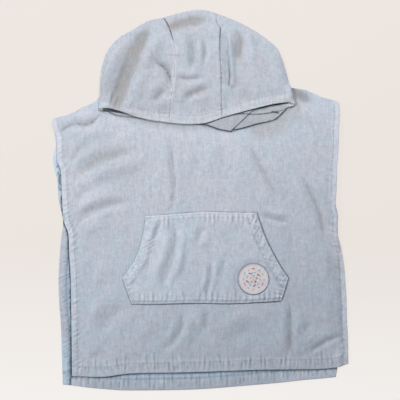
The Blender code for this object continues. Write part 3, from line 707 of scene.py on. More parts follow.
def floor_material():
    """Pale paper that takes almost no shadow, a little lighter towards the bottom of the picture."""
    n = Nodes("floor_paper")
    height = n.add("SeparateXYZ", {0: n.position}).outputs[1]
    tone = n.mix(n.ramp(height, -0.42, -0.10), (0.980, 0.950, 0.925, 1), (0.895, 0.838, 0.797, 1))
    tone = n.mix(n.ramp(n.noise(5.0, 3.0), 0.3, 0.7, 0.0, 0.03), tone, (0.82, 0.75, 0.70, 1))
    glow = n.add("Emission", {"Color": tone, "Strength": 0.94})
    n.finish(Base_Color=n.mix(1.0, tone, (0.9, 0.9, 0.9, 1), "MULTIPLY"), Roughness=1.0,
             Specular_IOR_Level=0.0)
    mixed = n.add("MixShader", {0: 0.90, 1: n.shader.outputs[0], 2: glow.outputs[0]})
    n.feed(n.tree.nodes["Material Output"], {"Surface": mixed.outputs[0]})
    return n.material


# ---- heights of the layers
POCKET_OUTLINE = np.vstack([dense(POCKET_BOTTOM), dense(POCKET_RIGHT_SIDE), dense(POCKET_RIGHT_OPENING),
                            dense(POCKET_TOP)[::-1], dense(POCKET_LEFT_OPENING)[::-1],
                            dense(POCKET_LEFT_SIDE)[::-1]])
BRIM_LINE = dense([row[:2] for row in HOOD_LEFT[11:] + HOOD_CENTRE[1:] + HOOD_RIGHT[1:12]])
NECK_LINE = np.array([row[-3:-1] for row in HOOD_LEFT[13::-1] + HOOD_RIGHT[:8:-1]], float)
HOOD_ENDS = (-222, 206)     # x of the two ends of the folded hood
POCKET_MIDDLE = 10
UNDER_POCKET = 0.55         # share of the front panel's folds that is left under the pocket


def side_x(y, rows):
    """X of a side edge at each y."""
    return np.interp(-y, [-row[1] for row in rows], [row[0] for row in rows])


def front_flat_base(x, y):
    """Lower face of the front panel as in the solid, without its folds."""
    left, right = x - side_x(y, BACK_LEFT), side_x(y, BACK_RIGHT) - x
    bottom = y - np.interp(x, *zip(*BACK_BOTTOM))
    on_hem = highest(*[1 - smooth_step(width + 4, width + 22, depth) for width, depth in (
        (SIDE_HEM, left), (SIDE_HEM, right), (BOTTOM_HEM, bottom))])
    return (FRONT_BASE + (HEM - CLOTH) * on_hem) * (1 - smooth_step(4, 15, -right))


def front_lift(x, y):
    """How far the front panel stands off what it lies on: folds and slow waves, none under the hood."""
    height = 3.2 + waves(x, y, ((1.2, 70, 120, 3), (0.9, 34, 60, 4), (0.45, 15, 26, 5), (0.2, 8, 14, 6)))
    height = soft_floor(height + 1.5 * relief(x, y, FRONT_RELIEF), 0.5)
    below_brim = -to_line(x, y, BRIM_LINE)[0]
    free = smooth_step(-4, 26, below_brim) * smooth_step(2, 26, off_line(x, y, NECK_LINE))
    beside_hood = np.maximum(smooth_step(0, 20, HOOD_ENDS[0] - x), smooth_step(-8, 34, x - HOOD_ENDS[1]))
    return height * np.clip(np.maximum(free, beside_hood), 0.06, 1)


def in_pocket(x, y):
    """Signed distance from the pocket's outline, positive inside."""
    return to_line(x, y, POCKET_OUTLINE)[0]


def from_badge(x, y):
    return np.hypot(x - BADGE_CENTRE[0], y - BADGE_CENTRE[1])


def pocket_lift(x, y):
    """How far the pocket stands off the front panel: more at its slanted openings, and its folds."""
    height = smooth_step(-224, -190, y) * (1 - smooth_step(-60, -28, y))
    sides = smooth_step(60, 150, np.abs(x - POCKET_MIDDLE))
    folds = 2.2 + 1.3 * waves(x, y, ((0.5, 30, 44, 8), (0.25, 13, 22, 9))) + 1.5 * relief(x, y, POCKET_RELIEF)
    folds = soft_floor(folds, 0.3) * smooth_step(0, 16, in_pocket(x, y))
    off_badge = smooth_step(BADGE_RADIUS - 4, BADGE_RADIUS + 16, from_badge(x, y))
    return GAP + 0.7 + 1.2 * height * sides + folds * (0.15 + 0.85 * off_badge)


def pocket_floor(x, y):
    """Upper face of the front panel under the pocket, where the panel's own folds are calmer."""
    return front_flat_base(x, y) + UNDER_POCKET * front_lift(x, y) + CLOTH + 0.1


# ---- back and front panels
def neck_edge(rows, towards_hood):
    """Panel edge at the neck: the hood's neck points, moved off the hood by the gap."""
    return beside(np.array([row[-3:-1] for row in rows], float), towards_hood * NECK_GAP)


def finer(points, step):
    """The same broken line with more points."""
    fine = [points[0]]
    for start, end in zip(points[:-1], points[1:]):
        parts = max(1, round(np.linalg.norm(end - start) / step))
        fine += [start + (end - start) * k / parts for k in range(1, parts + 1)]
    return np.array(fine)


def panel_grid(neck, left, right, bottom, step_x, step_y):
    """Flat grid of a panel between its shoulders, neck, sides and bottom, with near upright columns."""
    left_shoulder, right_shoulder = (
        along(rows, spacing(curve_length(rows), step_x, False))
        for rows in (SHOULDER_LEFT[:-1] + [tuple(neck[0])], SHOULDER_RIGHT[::-1][:-1] + [tuple(neck[-1])]))
    top = np.vstack([left_shoulder, finer(neck, step_x)[1:-1], right_shoulder[::-1]])
    lean = 0.45 * np.minimum(arc(top), 8.0)
    top[:, 0] = np.maximum.accumulate(top[:, 0] - lean) + lean
    steps = np.abs(np.diff(top[:, 0])) + 0.15 * np.abs(np.diff(top[:, 1]))
    bottom = along(bottom, np.concatenate([[0], np.cumsum(steps)]) / steps.sum() * curve_length(bottom))
    share = spacing(curve_length(left), step_y) / curve_length(left)
    left, right = (along(rows, share * curve_length(rows))[::-1] for rows in (left, right))
    return coons_patch(bottom, top, left, right, 4, 3)


def valley_tone(height, start, full):
    """How much of the greyer tone, a painted shade, the low side of a fold shows."""
    return smooth_step(start, full, -height)


def hem_cover(width, depth):
    """1 on a hem of this width, 0 off it."""
    return 1 - smooth_step(width - 1.5, width + 1.5, depth)


def hem_fields(x, y, left, right, bottom, seed):
    """Hem thickness, stitch grooves and puckers of a panel, from the distances to its three hemmed edges."""
    hem, groove, ruffle = np.zeros((3, *x.shape))
    for number, (edge, width) in enumerate(((left, SIDE_HEM), (right, SIDE_HEM), (bottom, BOTTOM_HEM))):
        at_bottom = edge is bottom
        signed, place = to_line(x, y, dense(edge))
        depth = np.abs(signed)
        hem = np.maximum(hem, hem_cover(width, depth))
        groove += (0.35 if at_bottom else 0.8) * bump(depth - (width - STITCH_INSET), 1.4)
        tall = 1.85 if at_bottom else 0.95 * np.clip(0.6 + (130 - y) / 380, 0.6, 1.3)
        ruffle += puckers(place, depth, width * (1.1 if at_bottom else 1.0), 8.2, tall, seed + number,
                          0.0 if at_bottom else -0.5)
        crumple = value_noise(place, depth, 3.6, 9.0, seed + 40 + number)
        ruffle += 0.5 * crumple * (1 - smooth_step(0.9 * width, 1.3 * width, depth))
    return hem, np.clip(groove, 0, 1), ruffle


def in_slit(x, y, slit):
    """1 above the lower edge of a slit between brim and chest, which painted shade darkens."""
    return smooth_step(-0.7, 0.7, to_photo_line(x, y, slit)[0])


def build_front(material):
    neck = np.vstack([neck_edge(HOOD_LEFT[:14], 1)[::-1], neck_edge(HOOD_RIGHT[9:], 1)[::-1]])
    flat = panel_grid(neck, FRONT_LEFT, FRONT_RIGHT, FRONT_BOTTOM, 2.9, 3.1)
    x, y = flat[..., 0], flat[..., 1]
    hem, groove, ruffle = hem_fields(x, y, FRONT_LEFT, FRONT_RIGHT, FRONT_BOTTOM, 11)
    edge = np.minimum(*border_distance(flat))
    lift = front_lift(x, y)
    lift *= np.where(in_pocket(x, y) > 0, UNDER_POCKET, 1.0)
    lift *= 0.35 + 0.65 * smooth_step(0, 45, np.minimum(edge, off_edge(x, y, FRONT_BOTTOM)))
    creases = fine_lines(x, y, FRONT_LINES)
    off_border = smooth_step(0, EDGE_FADE, edge)
    proud = (ruffle - 0.5 * groove + 0.16 * value_noise(x, y, 6, 9, 21)) * off_border
    proud -= 0.9 * creases * off_border
    left_hem = 1 - smooth_step(9, 16, off_edge(x, y, FRONT_LEFT))
    right_hem = 1 - smooth_step(9, 16, off_edge(x, y, FRONT_RIGHT))
    low_down = smooth_step(60, 250, -y)
    # Painted shade: greyer on the low side of folds, in stitch grooves and pucker troughs, along the shade
    # tones, and a soft painted shadow below the brim; less of it on the lower right hem.
    valley = (0.9 * valley_tone(relief(x, y, FRONT_RELIEF), 0.0, 2.3) + 0.35 * groove
              + fine_lines(x, y, FRONT_SHADE_TONES) + 0.9 * valley_tone(ruffle, 0.1, 1.2)
              + 0.95 * (1 - smooth_step(2, 23, off_line(x, y, BRIM_LINE))))
    valley *= 1 - 0.7 * right_hem * low_down
    # Painted shade in the gap along the neck seam, the pocket's contact shadow, creases, stitch grooves,
    # pucker troughs, the slit under the brim's left end and the shadow beside the hood; less on the lower
    # right hem.
    shade = (0.6 + 0.35 * smooth_step(-140, -60, x)) * bump(off_line(x, y, neck), 2.0) * (np.abs(x) < 205)
    shade = np.maximum(shade + pocket_shadow(x, y), 0.6 * creases)
    shade = shade + 0.12 * groove + 0.12 * valley_tone(ruffle, 0.5, 1.6)
    slit = in_slit(x, y, SLIT_LEFT) * (x < -180) * (y < 210)
    shade = highest(shade, 0.9 * slit * smooth_step(-212, -209, x), fine_lines(x, y, FRONT_SHADOWS))
    shade *= 1 - 0.5 * right_hem * low_down
    # Painted highlights on the rolled side hems and pucker ridges, and a painted pool of light over the lower
    # right corner.
    bright = (0.4 * (left_hem * smooth_step(-330, -270, y)) + right_hem * (0.55 + 0.45 * low_down)
              + 0.4 * smooth_step(0.3, 1.5, ruffle) + 0.75 * bump(np.hypot(x - 300, y + 338), 36))
    return flat_cloth("front_cloth", material, flat, edge, front_flat_base(x, y) + lift, hem, EDGE_RADIUS,
                      proud, shade, valley, bright)


def pocket_shadow(x, y):
    """Contact line round the pocket: dark at the right and the bottom, thin at the top, faint at the left."""
    total = np.zeros(x.shape)
    for strength, width, line in ((0.9, 3.2, POCKET_RIGHT_OPENING), (0.85, 3.0, POCKET_RIGHT_SIDE),
                                  (0.85, 3.2, POCKET_BOTTOM), (0.75, 2.0, POCKET_TOP),
                                  (0.15, 2.0, POCKET_LEFT_OPENING), (0.15, 2.0, POCKET_LEFT_SIDE)):
        share = smooth_step(-105, -75, x) if line is POCKET_TOP else 1
        total = np.maximum(total, strength * share * (1 - smooth_step(-1, width, off_edge(x, y, line))))
    return total


def build_back(material):
    neck = neck_edge(HOOD_LEFT[13:] + HOOD_CENTRE[1:] + HOOD_RIGHT[1:10], -1)
    flat = panel_grid(neck, BACK_LEFT, BACK_RIGHT, BACK_BOTTOM, 3.6, 3.6)
    x, y = flat[..., 0], flat[..., 1]
    hem, groove, ruffle = hem_fields(x, y, BACK_LEFT, BACK_RIGHT, BACK_BOTTOM, 31)
    edge = np.minimum(*border_distance(flat))
    proud = (0.6 * ruffle - 0.4 * groove) * smooth_step(0, EDGE_FADE, edge)
    from_left, from_bottom, beside_front, below_front = (
        off_edge(x, y, rows) for rows in (BACK_LEFT, BACK_BOTTOM, FRONT_LEFT, FRONT_BOTTOM))
    strip_low = smooth_step(290, 320, -y) * (x < -282)
    sliver = (x < -290) * smooth_step(0, 20, y)
    hem_tone = np.maximum(1 - smooth_step(SIDE_HEM - 2, SIDE_HEM + 1, from_left),
                          0.75 * (1 - smooth_step(BOTTOM_HEM - 2, BOTTOM_HEM + 1, from_bottom)))
    hem_tone *= 1 - 0.7 * np.maximum(strip_low, sliver)
    inner_edge = np.minimum(np.abs(from_left - SIDE_HEM - 1), np.abs(from_bottom - BOTTOM_HEM - 1))
    ragged = beside_front + 1.5 * value_noise(y, y, 4.2, 4.2, 78)
    loops = 0.45 + 1.1 * value_noise(x + 0.45 * y, y, 3.0, 4.5, 77)
    left_side = (x < -200) * smooth_step(-15, -5, -y)
    upper_sliver = (x < -200) * smooth_step(5, 15, y) * smooth_step(-92, -72, -y)
    # Painted shade along the hem's inner edge and in pucker troughs, and painted shadow beside the front
    # panel's left and bottom edges; dark terry loops in the upper sliver.
    shade = highest(
        0.34 * bump(inner_edge - 0.6, 1.3) + 0.30 * valley_tone(ruffle, 0.1, 1.0),
        0.92 * (1 - smooth_step(1.8, 5.0, ragged)) * left_side,
        0.8 * np.clip(loops, 0, 1) * (1 - smooth_step(4, 12, beside_front)) * upper_sliver,
        0.65 * (1 - smooth_step(0.5, 2.6, below_front)) * smooth_step(-265, -235, x)
        * (1 - 0.6 * smooth_step(185, 230, x)),
        fine_lines(x, y, BACK_LINES))
    # Lighter tone on the strip and sliver of the inner face, on the hem lines and towards the lower right;
    # painted highlights on pucker ridges.
    bright = (0.6 * strip_low + 0.9 * sliver + 0.5 * smooth_step(120, 200, x) * (y < -340)
              + 0.45 * smooth_step(BOTTOM_HEM - 1, BOTTOM_HEM + 2, from_bottom) * (y < -300) * (x > -270)
              + bump(from_bottom - BOTTOM_HEM + 1.4, 1.5) * (x > -262)
              + 0.45 * (x > -280) * (x < -250) * (y < -372)
              + 0.9 * bump(from_left - SIDE_HEM - 0.4, 0.9) * smooth_step(110, 125, -y) * (y > -370)
              + 0.5 * smooth_step(0.3, 1.5, ruffle))
    return flat_cloth("back_cloth", material, flat, edge, 0, hem, EDGE_RADIUS, proud, shade, hem_tone, bright)


# ---- hood
UPPER = np.concatenate([EDGE_LINES, [4.6, 7.5, 10.5, 13.5, 16.5, 18.8, 20.5, 21.6, 22.6, 24, 26.5],
                        np.arange(29.5, CROWN_DEPTH - 2, 3.0), [CROWN_DEPTH]]) / CROWN_DEPTH
HEM_POINTS = 17             # points of a section that lie on the brim's hem
TURN_STEPS = 12
LOWER = np.concatenate([np.linspace(0, 1, 16)[:-1], [0.955, 0.972, 0.985, 0.993, 1.0]])
POINTS = len(UPPER) + TURN_STEPS - 1 + len(LOWER)
SOLID_PUFF = 1.1            # fullness of the upper layer in the solid
HIGHEST = 19.5              # the hood's mid-line eases off below this height
# How far the seams bow to the right of a straight line, in pixels: (picture's row, left seam, right seam).
SEAM_BOW = np.array([
    (13, 0, 0), (18, 0.5, -1.8), (23.7, 3.5, -1.2), (28.3, 5.5, 2.2), (40, 8.3, 0.9), (49, 10.1, 0.4),
    (65, 8.8, 0.7), (76.5, 7.4, 0.7), (90, 4.8, 0.4), (103, 2.1, 0.1), (118, 0, 0)], float)
# How dark the two seams show, in the same columns.
SEAM_TONE = np.array([
    (13, 0.3, 0.1), (18, 0.85, 0.1), (26, 0.85, 0.2), (28, 0.2, 0.8), (30, 0.8, 0.85), (39, 0.75, 0.8),
    (41, 0, 0.6), (60, 0, 0.35), (66, 0, 0.35), (72, 0.1, 0.3), (84, 0.15, 0.45), (92, 0.1, 0.4),
    (95, 0.05, 0.25), (123, 0.1, 0.25)], float)
SEAM_ENDS = (((166, 394), (-66, -79)), ((177, 402), (47, 38)))    # y and x of the ends of both straight seams
SEAM_PARTING = -10          # points left of this x belong to the left seam


def hood_puff(share):
    """Fullness of the hood's upper layer between brim and rim."""
    return SOLID_PUFF * np.sin(pi * share) + 4.4 * np.sin(pi * np.clip(share, 0, 1) ** 1.25) ** 0.8


def is_turned(row):
    """Whether a section turns under at a rim; the others are flat from brim to neck."""
    return len(row) == 9


def hood_section(row):
    """Mid-line of the cloth from brim to neck, in one section round the face opening."""
    brim, neck = np.array(row[:3], float), np.array(row[-3:], float)
    if not is_turned(row):
        length = np.linalg.norm(neck - brim)
        on_hem = UPPER[:HEM_POINTS] * CROWN_DEPTH / length * min(1, 0.55 * length / BRIM_HEM)
        rest = on_hem[-1] + (1 - on_hem[-1]) * np.linspace(0, 1, POINTS - HEM_POINTS - 3)[1:-1]
        ends = 1 - np.array([2.8, 1.6, 0.9, 0.4, 0.0]) / length
        share = np.concatenate([on_hem, rest[rest < ends[0] - 1e-3], ends])
        share = np.interp(np.linspace(0, len(share) - 1, POINTS), np.arange(len(share)), share)
        return brim + share[:, None] * (neck - brim)
    rim, rim_z, neck_z = np.array(row[3:5], float), row[5], row[8]
    radius = (rim_z - neck_z) / 2
    to_brim, to_neck = unit(brim[:2] - rim), unit(neck[:2] - rim)
    rim = rim + to_brim * CLOTH / 2
    upper_end = np.append(rim + to_brim * radius, rim_z)
    lower_end = np.append(rim + to_neck * radius, neck_z)
    upper = brim + UPPER[:, None] * (upper_end - brim)
    upper[:, 2] += SOLID_PUFF * np.sin(pi * UPPER)
    turn = []
    for k in range(1, TURN_STEPS):
        angle = pi * k / TURN_STEPS
        inward = to_brim + (to_neck - to_brim) * k / TURN_STEPS
        inward /= max(np.linalg.norm(inward), 0.5)
        turn.append([*(rim + inward * radius * (1 - sin(angle))), neck_z + radius * (1 + cos(angle))])
    return np.vstack([upper, turn, lower_end + LOWER[:, None] * (neck - lower_end)])


def tuck_height(x, y):
    """The tuck beside the right seam: cloth sunk between the seam and a raised, rounded edge, with painted
    shade under that edge and in the sunk strip.
    """
    beyond_left = to_photo_line(x, y, TUCK_LEFT)[0]
    beyond_right, _, share = to_photo_line(x, y, TUCK_RIGHT)
    fade = smooth_step(0.0, 0.18, share) * smooth_step(0.0, 0.1, 1 - share)
    between = smooth_step(-1, 3, beyond_left) * smooth_step(-0.5, 3.5, -beyond_right)
    edge = bump(np.clip(beyond_right, 0, None) - 3.0, 7.0) * (beyond_right > -0.5)
    height = fade * (4.5 * edge * smooth_step(-0.5, 2.0, beyond_right) - 2.2 * between)
    under_edge = bump(np.minimum(beyond_right + 1.8, 0), 3.2) * between
    return height, fade * np.maximum(under_edge * smooth_step(0.35, 0.75, share), 0.17 * between)


def seam_position(number, y):
    """X of a seam if it were straight, and how far it bows to the right of that."""
    bow = np.interp(photo_row(y), SEAM_BOW[:, 0], SEAM_BOW[:, 1 + number]) * PIXEL
    return np.interp(y, *SEAM_ENDS[number]), bow


def seam_bow(x, y):
    """Sideways shift of the hood's upper layer, which bends the two seams as in the photograph."""
    shift = 0
    for number, reach in enumerate((46, 26)):
        straight, bow = seam_position(number, y)
        shift = shift + bow * bump(x - straight, reach)
    return shift


def seam_strength(x, y):
    """Darkness of the nearer seam, broken up into stitches."""
    left, right = (np.interp(photo_row(y), SEAM_TONE[:, 0], SEAM_TONE[:, column]) for column in (1, 2))
    tone = np.where(x < SEAM_PARTING, left, right)
    return np.clip(tone * (1 + 0.3 * value_noise(y, y, 5, 5, 40)), 0, 1)


def seam_ridge(x, y):
    """Where the left seam stands up as a light ridge, between its dark upper end and the brim."""
    row = photo_row(y)
    return (x < SEAM_PARTING) * smooth_step(39, 44, row) * (1 - smooth_step(98, 110, row))


def seam_puckers(x, y):
    """Small ridges that run away from both hood seams, and a soft roll along each of them."""
    total = np.zeros(x.shape)
    for number in (0, 1):
        straight, bow = seam_position(number, y)
        away = np.abs(x - (straight + bow))
        draw = np.random.RandomState(70 + number)
        at = 170.0
        while at < 400:
            at += draw.uniform(6.0, 13.0)
            tall, wide, reach = draw.uniform(0.2, 1.0), draw.uniform(1.8, 2.8), draw.uniform(6, 16)
            across = y - at - draw.uniform(-0.25, 0.25) * away
            total += tall * (bump(across, wide) - 0.8 * bump(across - 2.2 * wide, wide)) * (
                1 - smooth_step(0.4 * reach, reach, away))
        total += 0.6 * bump(away - 4.0, 2.2)
    return total


def ring_numbers(rows, steps, fine):
    """Row numbers of the sections: even steps, and more in the fine stretch and at the ends."""
    last = len(rows) - 1
    near = np.array([0, 0.012, 0.04, 0.09, 0.16, 0.26, 0.4, 0.6, 0.8])
    inner = np.arange(steps, last * steps + 1 - steps) / steps
    numbers = np.concatenate([near, inner, (last - near)[::-1]])
    if fine:
        within = (numbers > fine[0]) & (numbers < fine[1])
        closer = np.arange(fine[0] + 0.02, fine[1] - 0.02, 1 / 26)
        numbers = np.sort(np.concatenate([numbers[~within], closer]))
    return numbers


def build_hood_piece(name, rows, steps, seams, material, seed, fine=None):
    """One piece of the hood, from brim to rim to neck; seams says which of its two ends are sewn."""
    t = ring_numbers(rows, steps, fine)
    coarse = np.array([hood_section(row) for row in rows])
    grid = spline(coarse, t)
    start = np.clip(np.floor(t).astype(int), 0, len(rows) - 2)
    share = (t - start)[:, None]
    grid[:, -1] = coarse[start, -1] * (1 - share) + coarse[start + 1, -1] * share
    turned = np.interp(t, np.arange(len(rows)), [float(is_turned(row)) for row in rows])[:, None]
    flat_part = 1 - turned
    upper = np.append(UPPER, np.ones(POINTS - len(UPPER)))[None, :]
    outside = (np.arange(POINTS) < len(UPPER))[None, :]
    on_top = outside * turned
    grid[..., 0] += seam_bow(grid[..., 0], grid[..., 1]) * on_top
    x, y = grid[..., 0], grid[..., 1]

    # the folds, kept between the layer below and the greatest height
    calm = smooth_step(0.0, 0.10, upper) * (1 - smooth_step(0.90, 1.0, upper))
    wide = np.minimum(1, np.linalg.norm(grid[:, len(UPPER) - 1] - grid[:, 0], axis=1) / 90)[:, None]
    swell = waves(x, y, ((1.0, 44, 60, 101), (0.7, 20, 28, 102), (0.45, 9, 12, 103)))
    creases = relief(x, y, HOOD_RELIEF)
    tuck, tuck_shade = tuck_height(x, y)
    lift = 1.9 * creases + tuck + swell + hood_puff(upper) - SOLID_PUFF * np.sin(pi * upper)
    room = grid[..., 2] - 4.2 - 3.3 * (1 - smooth_step(0.15, 0.3, upper))
    lift = soft_floor(lift + room, 1) - room
    lift -= soft_floor(grid[..., 2] + lift - HIGHEST, 2)
    grid[..., 2] += lift * calm * turned * wide
    grid[..., 2] = np.maximum(grid[..., 2], CLOTH / 2)
    for index, inner, sewn in ((0, 5, seams[0]), (-1, -6, seams[1])):
        if sewn:
            step = grid[inner] - grid[index]
            grid[index] += step / np.linalg.norm(step, axis=1)[:, None] * 0.06

    # thickness, hem and fine relief
    across, upward = border_distance(grid)
    depth = grid_arc(grid, 1)
    hem_end = BRIM_HEM * np.minimum(1, wide * 4 * turned + flat_part * 0.9)
    hem = (1 - smooth_step(hem_end - 1.2, hem_end + 1.2, depth)) * outside
    second_half = (np.arange(len(t)) > len(t) / 2)[:, None]
    end_radius = np.where(np.where(second_half, seams[1], seams[0]), SEAM_EDGE, HOOD_EDGE)
    half = hem_thickness(hem * turned) / 2 * np.minimum(
        rounded(across, HOOD_EDGE), rounded(upward, end_radius))
    groove = bump(depth - hem_end + BRIM_STITCH, 1.4) * outside
    from_brim, place = to_line(x, y, BRIM_LINE)
    ruffle = puckers(place, np.abs(from_brim), BRIM_HEM, 8.6, 1.0, 106) * outside * turned
    proud = (ruffle - 0.35 * groove + 0.14 * value_noise(x, y, 6, 7, seed + 8)) * smooth_step(
        0, EDGE_FADE, np.minimum(across, upward))
    proud = proud * (1 - turned * ~outside)
    lines = fine_lines(x, y, HOOD_LINES) * on_top * calm
    beside_seam = seam_puckers(x, y) * on_top * smooth_step(0, 0.02, upper) * calm
    proud += beside_seam - 0.9 * lines

    # tones: painted shade on the low side of folds, in the throat, in creases, the tuck, the slits under the
    # brim, along the neck and at the free end; painted highlights on the brim's hem and the left seam's ridge
    valley = (valley_tone(creases, -0.3, 3.8) + 0.3 * valley_tone(swell, 0.1, 1.2)) * calm * turned
    valley += fine_lines(x, y, HOOD_SHADE_TONES) * on_top * calm
    valley += 0.25 * groove * turned
    valley += 0.3 * valley_tone(ruffle, 0.05, 1.0) + 0.5 * valley_tone(beside_seam, 0.05, 0.5)
    valley = np.maximum(valley, 0.33 * flat_part)
    slit = highest(in_slit(x, y, SLIT_LEFT) * (x < -140), in_slit(x, y, SLIT_RIGHT) * (x > 60),
                   1 - smooth_step(-1, 2.0, -from_brim))
    slit = slit * smooth_step(-212, -209, x) * (1 - smooth_step(194.5, 198, x))
    neck_line = (0.5 + 0.4 * smooth_step(-140, -60, x)) * flat_part * bump(depth[:, -1:] - depth, 1.6)
    shade = highest(0.65 * lines + 0.9 * tuck_shade * on_top + 0.05 * groove * turned,
                    0.9 * slit * (1 - smooth_step(0.8, 1.0, turned)),
                    fine_lines(x, y, THROAT_LINES) * flat_part, neck_line)
    bright = 0.6 * hem * turned
    strength, ridge = seam_strength(x, y), seam_ridge(x, y)
    for index, sewn in zip((0, -1), seams):
        apart = np.linalg.norm(grid - grid[index][None], axis=2)
        if sewn:
            sunk = (0.15 + 0.6 * strength) * bump(apart, 1.1) * (apart > 0.3) * (1 - ridge)
            proud += on_top * (0.7 * ridge * bump(apart, 2.0) - sunk)
            # painted highlight along the seam's ridge
            bright = np.maximum(bright, ridge * bump(apart, 2.9) * on_top)
        # a sewn end shows its seam's dark line; the free end of the throat gets painted shadow where it lies
        # over the other piece
        end_tone = strength if sewn else 0.85 - 0.75 * smooth_step(183.5, 186.5, y)
        shade = np.maximum(shade, end_tone * bump(apart, 1.0))
    fields = [np.broadcast_to(field, x.shape)[:, ::-1] for field in (half, proud, shade, valley, bright)]
    return closed_cloth(name, material, grid[:, ::-1], *fields)


# ---- pocket and badge
# Hems of the pocket: (line, width, height of the puckers).
POCKET_HEMS = ((POCKET_LEFT_OPENING, OPENING_HEM, 0.45), (POCKET_RIGHT_OPENING, OPENING_HEM, 0.45),
               (POCKET_TOP, 11.0, 1.5), (POCKET_BOTTOM, 11.0, 1.5),
               (POCKET_LEFT_SIDE, 9.0, 0.7), (POCKET_RIGHT_SIDE, 9.0, 0.75))


def pocket_side(lower, upper):
    """Points of one side of the pocket, with one of them on the corner below the opening."""
    points = np.vstack([dense(lower), dense(upper)[1:]])
    distances = spacing(arc(points)[-1], 1.9)
    corner = curve_length(lower)
    distances[np.argmin(np.abs(distances - corner))] = corner
    return at_distances(points, distances)


def build_pocket(material):
    share = spacing(curve_length(POCKET_BOTTOM), 2.1) / curve_length(POCKET_BOTTOM)
    left = pocket_side(POCKET_LEFT_SIDE, POCKET_LEFT_OPENING)
    right = pocket_side(POCKET_RIGHT_SIDE, POCKET_RIGHT_OPENING)
    rows = min(len(left), len(right))
    left, right = left[:rows], right[:rows]
    left[-1], right[-1] = POCKET_LEFT_OPENING[-1], POCKET_RIGHT_OPENING[-1]
    flat = coons_patch(*[along(line, share * curve_length(line)) for line in (POCKET_BOTTOM, POCKET_TOP)],
                       left, right)
    x, y = flat[..., 0], flat[..., 1]
    edge = np.minimum(*border_distance(flat))
    hem, groove, ruffle = np.zeros((3, *x.shape))
    for number, (line, width, tall) in enumerate(POCKET_HEMS):
        signed, place = to_line(x, y, dense(line))
        depth = np.abs(signed)
        opening = width == OPENING_HEM
        hem = np.maximum(hem, hem_cover(width, depth))
        groove = np.maximum(groove, bump(depth - (width - STITCH_INSET if opening else EDGE_STITCH), 1.3))
        ruffle += puckers(place, depth, width * (0.9 if opening else 1.6), 9.0 if opening else 10.5,
                          tall, 50 + number, 0.9 if opening else 0.0)
        crumple = value_noise(place + 0.7 * depth, depth, 4.5, 6.5, 90 + number)
        ruffle += (1.15 if opening else 0.4) * crumple * (1 - smooth_step(0.8 * width, 1.2 * width, depth))
    ruffle *= smooth_step(BADGE_RADIUS - 3, BADGE_RADIUS + 6, from_badge(x, y))
    creases = fine_lines(x, y, POCKET_LINES) * smooth_step(0, 4, edge)
    proud = (ruffle - 0.5 * groove + 0.14 * value_noise(x, y, 6, 8, 61)) * smooth_step(0, EDGE_FADE, edge)
    proud -= 0.8 * creases
    # Painted shade: greyer on the low side of folds, in stitch grooves and in pucker troughs.
    valley = (0.6 * valley_tone(relief(x, y, POCKET_RELIEF), 0.05, 2.0) + 0.3 * groove
              + 0.9 * valley_tone(ruffle, 0.1, 1.1))
    # Painted shadow round the badge's edge, and painted shade in creases and stitch grooves.
    round_badge = 0.6 * bump(from_badge(x, y) - BADGE_RADIUS - 0.6, 1.2)
    shade = np.maximum(round_badge, 0.55 * creases) + 0.12 * groove
    # Painted highlights on pucker ridges and along the rolled edges, and painted light over the pocket's left
    # part.
    bright = 0.35 * smooth_step(0.3, 1.4, ruffle) + 0.2 * smooth_step(20, 110, -x)
    for strength, line in ((0.7, POCKET_BOTTOM), (0.8, POCKET_RIGHT_SIDE), (0.7, POCKET_TOP),
                           (0.45, POCKET_LEFT_SIDE), (0.45, POCKET_LEFT_OPENING),
                           (0.3, POCKET_RIGHT_OPENING)):
        bright = np.maximum(bright, strength * bump(off_edge(x, y, line) - 3.0, 1.7))
    return flat_cloth("pocket_cloth", material, flat, edge, pocket_floor(x, y) + pocket_lift(x, y), hem,
                      POCKET_EDGE, proud, shade, valley, bright)


def round_badge_centre(distance, angle):
    return [BADGE_CENTRE[0] + distance * cos(angle), BADGE_CENTRE[1] + distance * sin(angle)]


def build_badge(material):
    """Disc of smooth cloth: a rolled, stitched edge round a slightly full middle."""
    spokes = 120
    distances = [*np.linspace(0.0, BADGE_RADIUS - 3, 40)[1:],
                 *(BADGE_RADIUS - np.array([2.6, 2.1, 1.6, 1.1, 0.7, 0.4, 0.15, 0.0]))]
    x, y = np.array([BADGE_CENTRE[0]]), np.array([BADGE_CENTRE[1]])
    base = float((pocket_floor(x, y) + pocket_lift(x, y))[0]) + CLOTH + 0.8

    def top(d):
        rim = 0.35 * bump(d - (BADGE_RADIUS - 1.2), 1.0)
        return float(base + BADGE_THICKNESS * rounded(BADGE_RADIUS - d, 0.9) + rim + 0.25 * np.cos(
            d / BADGE_RADIUS * pi / 2) - 0.2 * bump(d - (BADGE_RADIUS - 2.9), 0.6))

    points, shade = [[*BADGE_CENTRE, top(0.0)]], [0.0]
    for d in distances:
        for a in np.linspace(0, 2 * pi, spokes, endpoint=False):
            wave = 0.06 * sin(7 * a + d * 0.3) + 0.05 * sin(4 * a - d * 0.2)
            wave *= float(smooth_step(0, 4, BADGE_RADIUS - d))
            points.append([*round_badge_centre(d, a), top(d) + wave])
            shade.append(0.6 * float(smooth_step(BADGE_RADIUS - 1.4, BADGE_RADIUS - 0.3, d)))
    underside = len(points)
    points.append([*BADGE_CENTRE, base])
    shade.append(0.0)
    last = 1 + (len(distances) - 1) * spokes
    faces = []
    for k in range(spokes):
        after = (k + 1) % spokes
        faces.append([0, 1 + k, 1 + after])
        for first in range(1, last, spokes):
            second = first + spokes
            faces.append([first + k, second + k, second + after, first + after])
    faces += [[underside, last + (k + 1) % spokes, last + k] for k in range(spokes)]
    return mesh_piece("badge_disc", points, faces, [material], shade=shade)


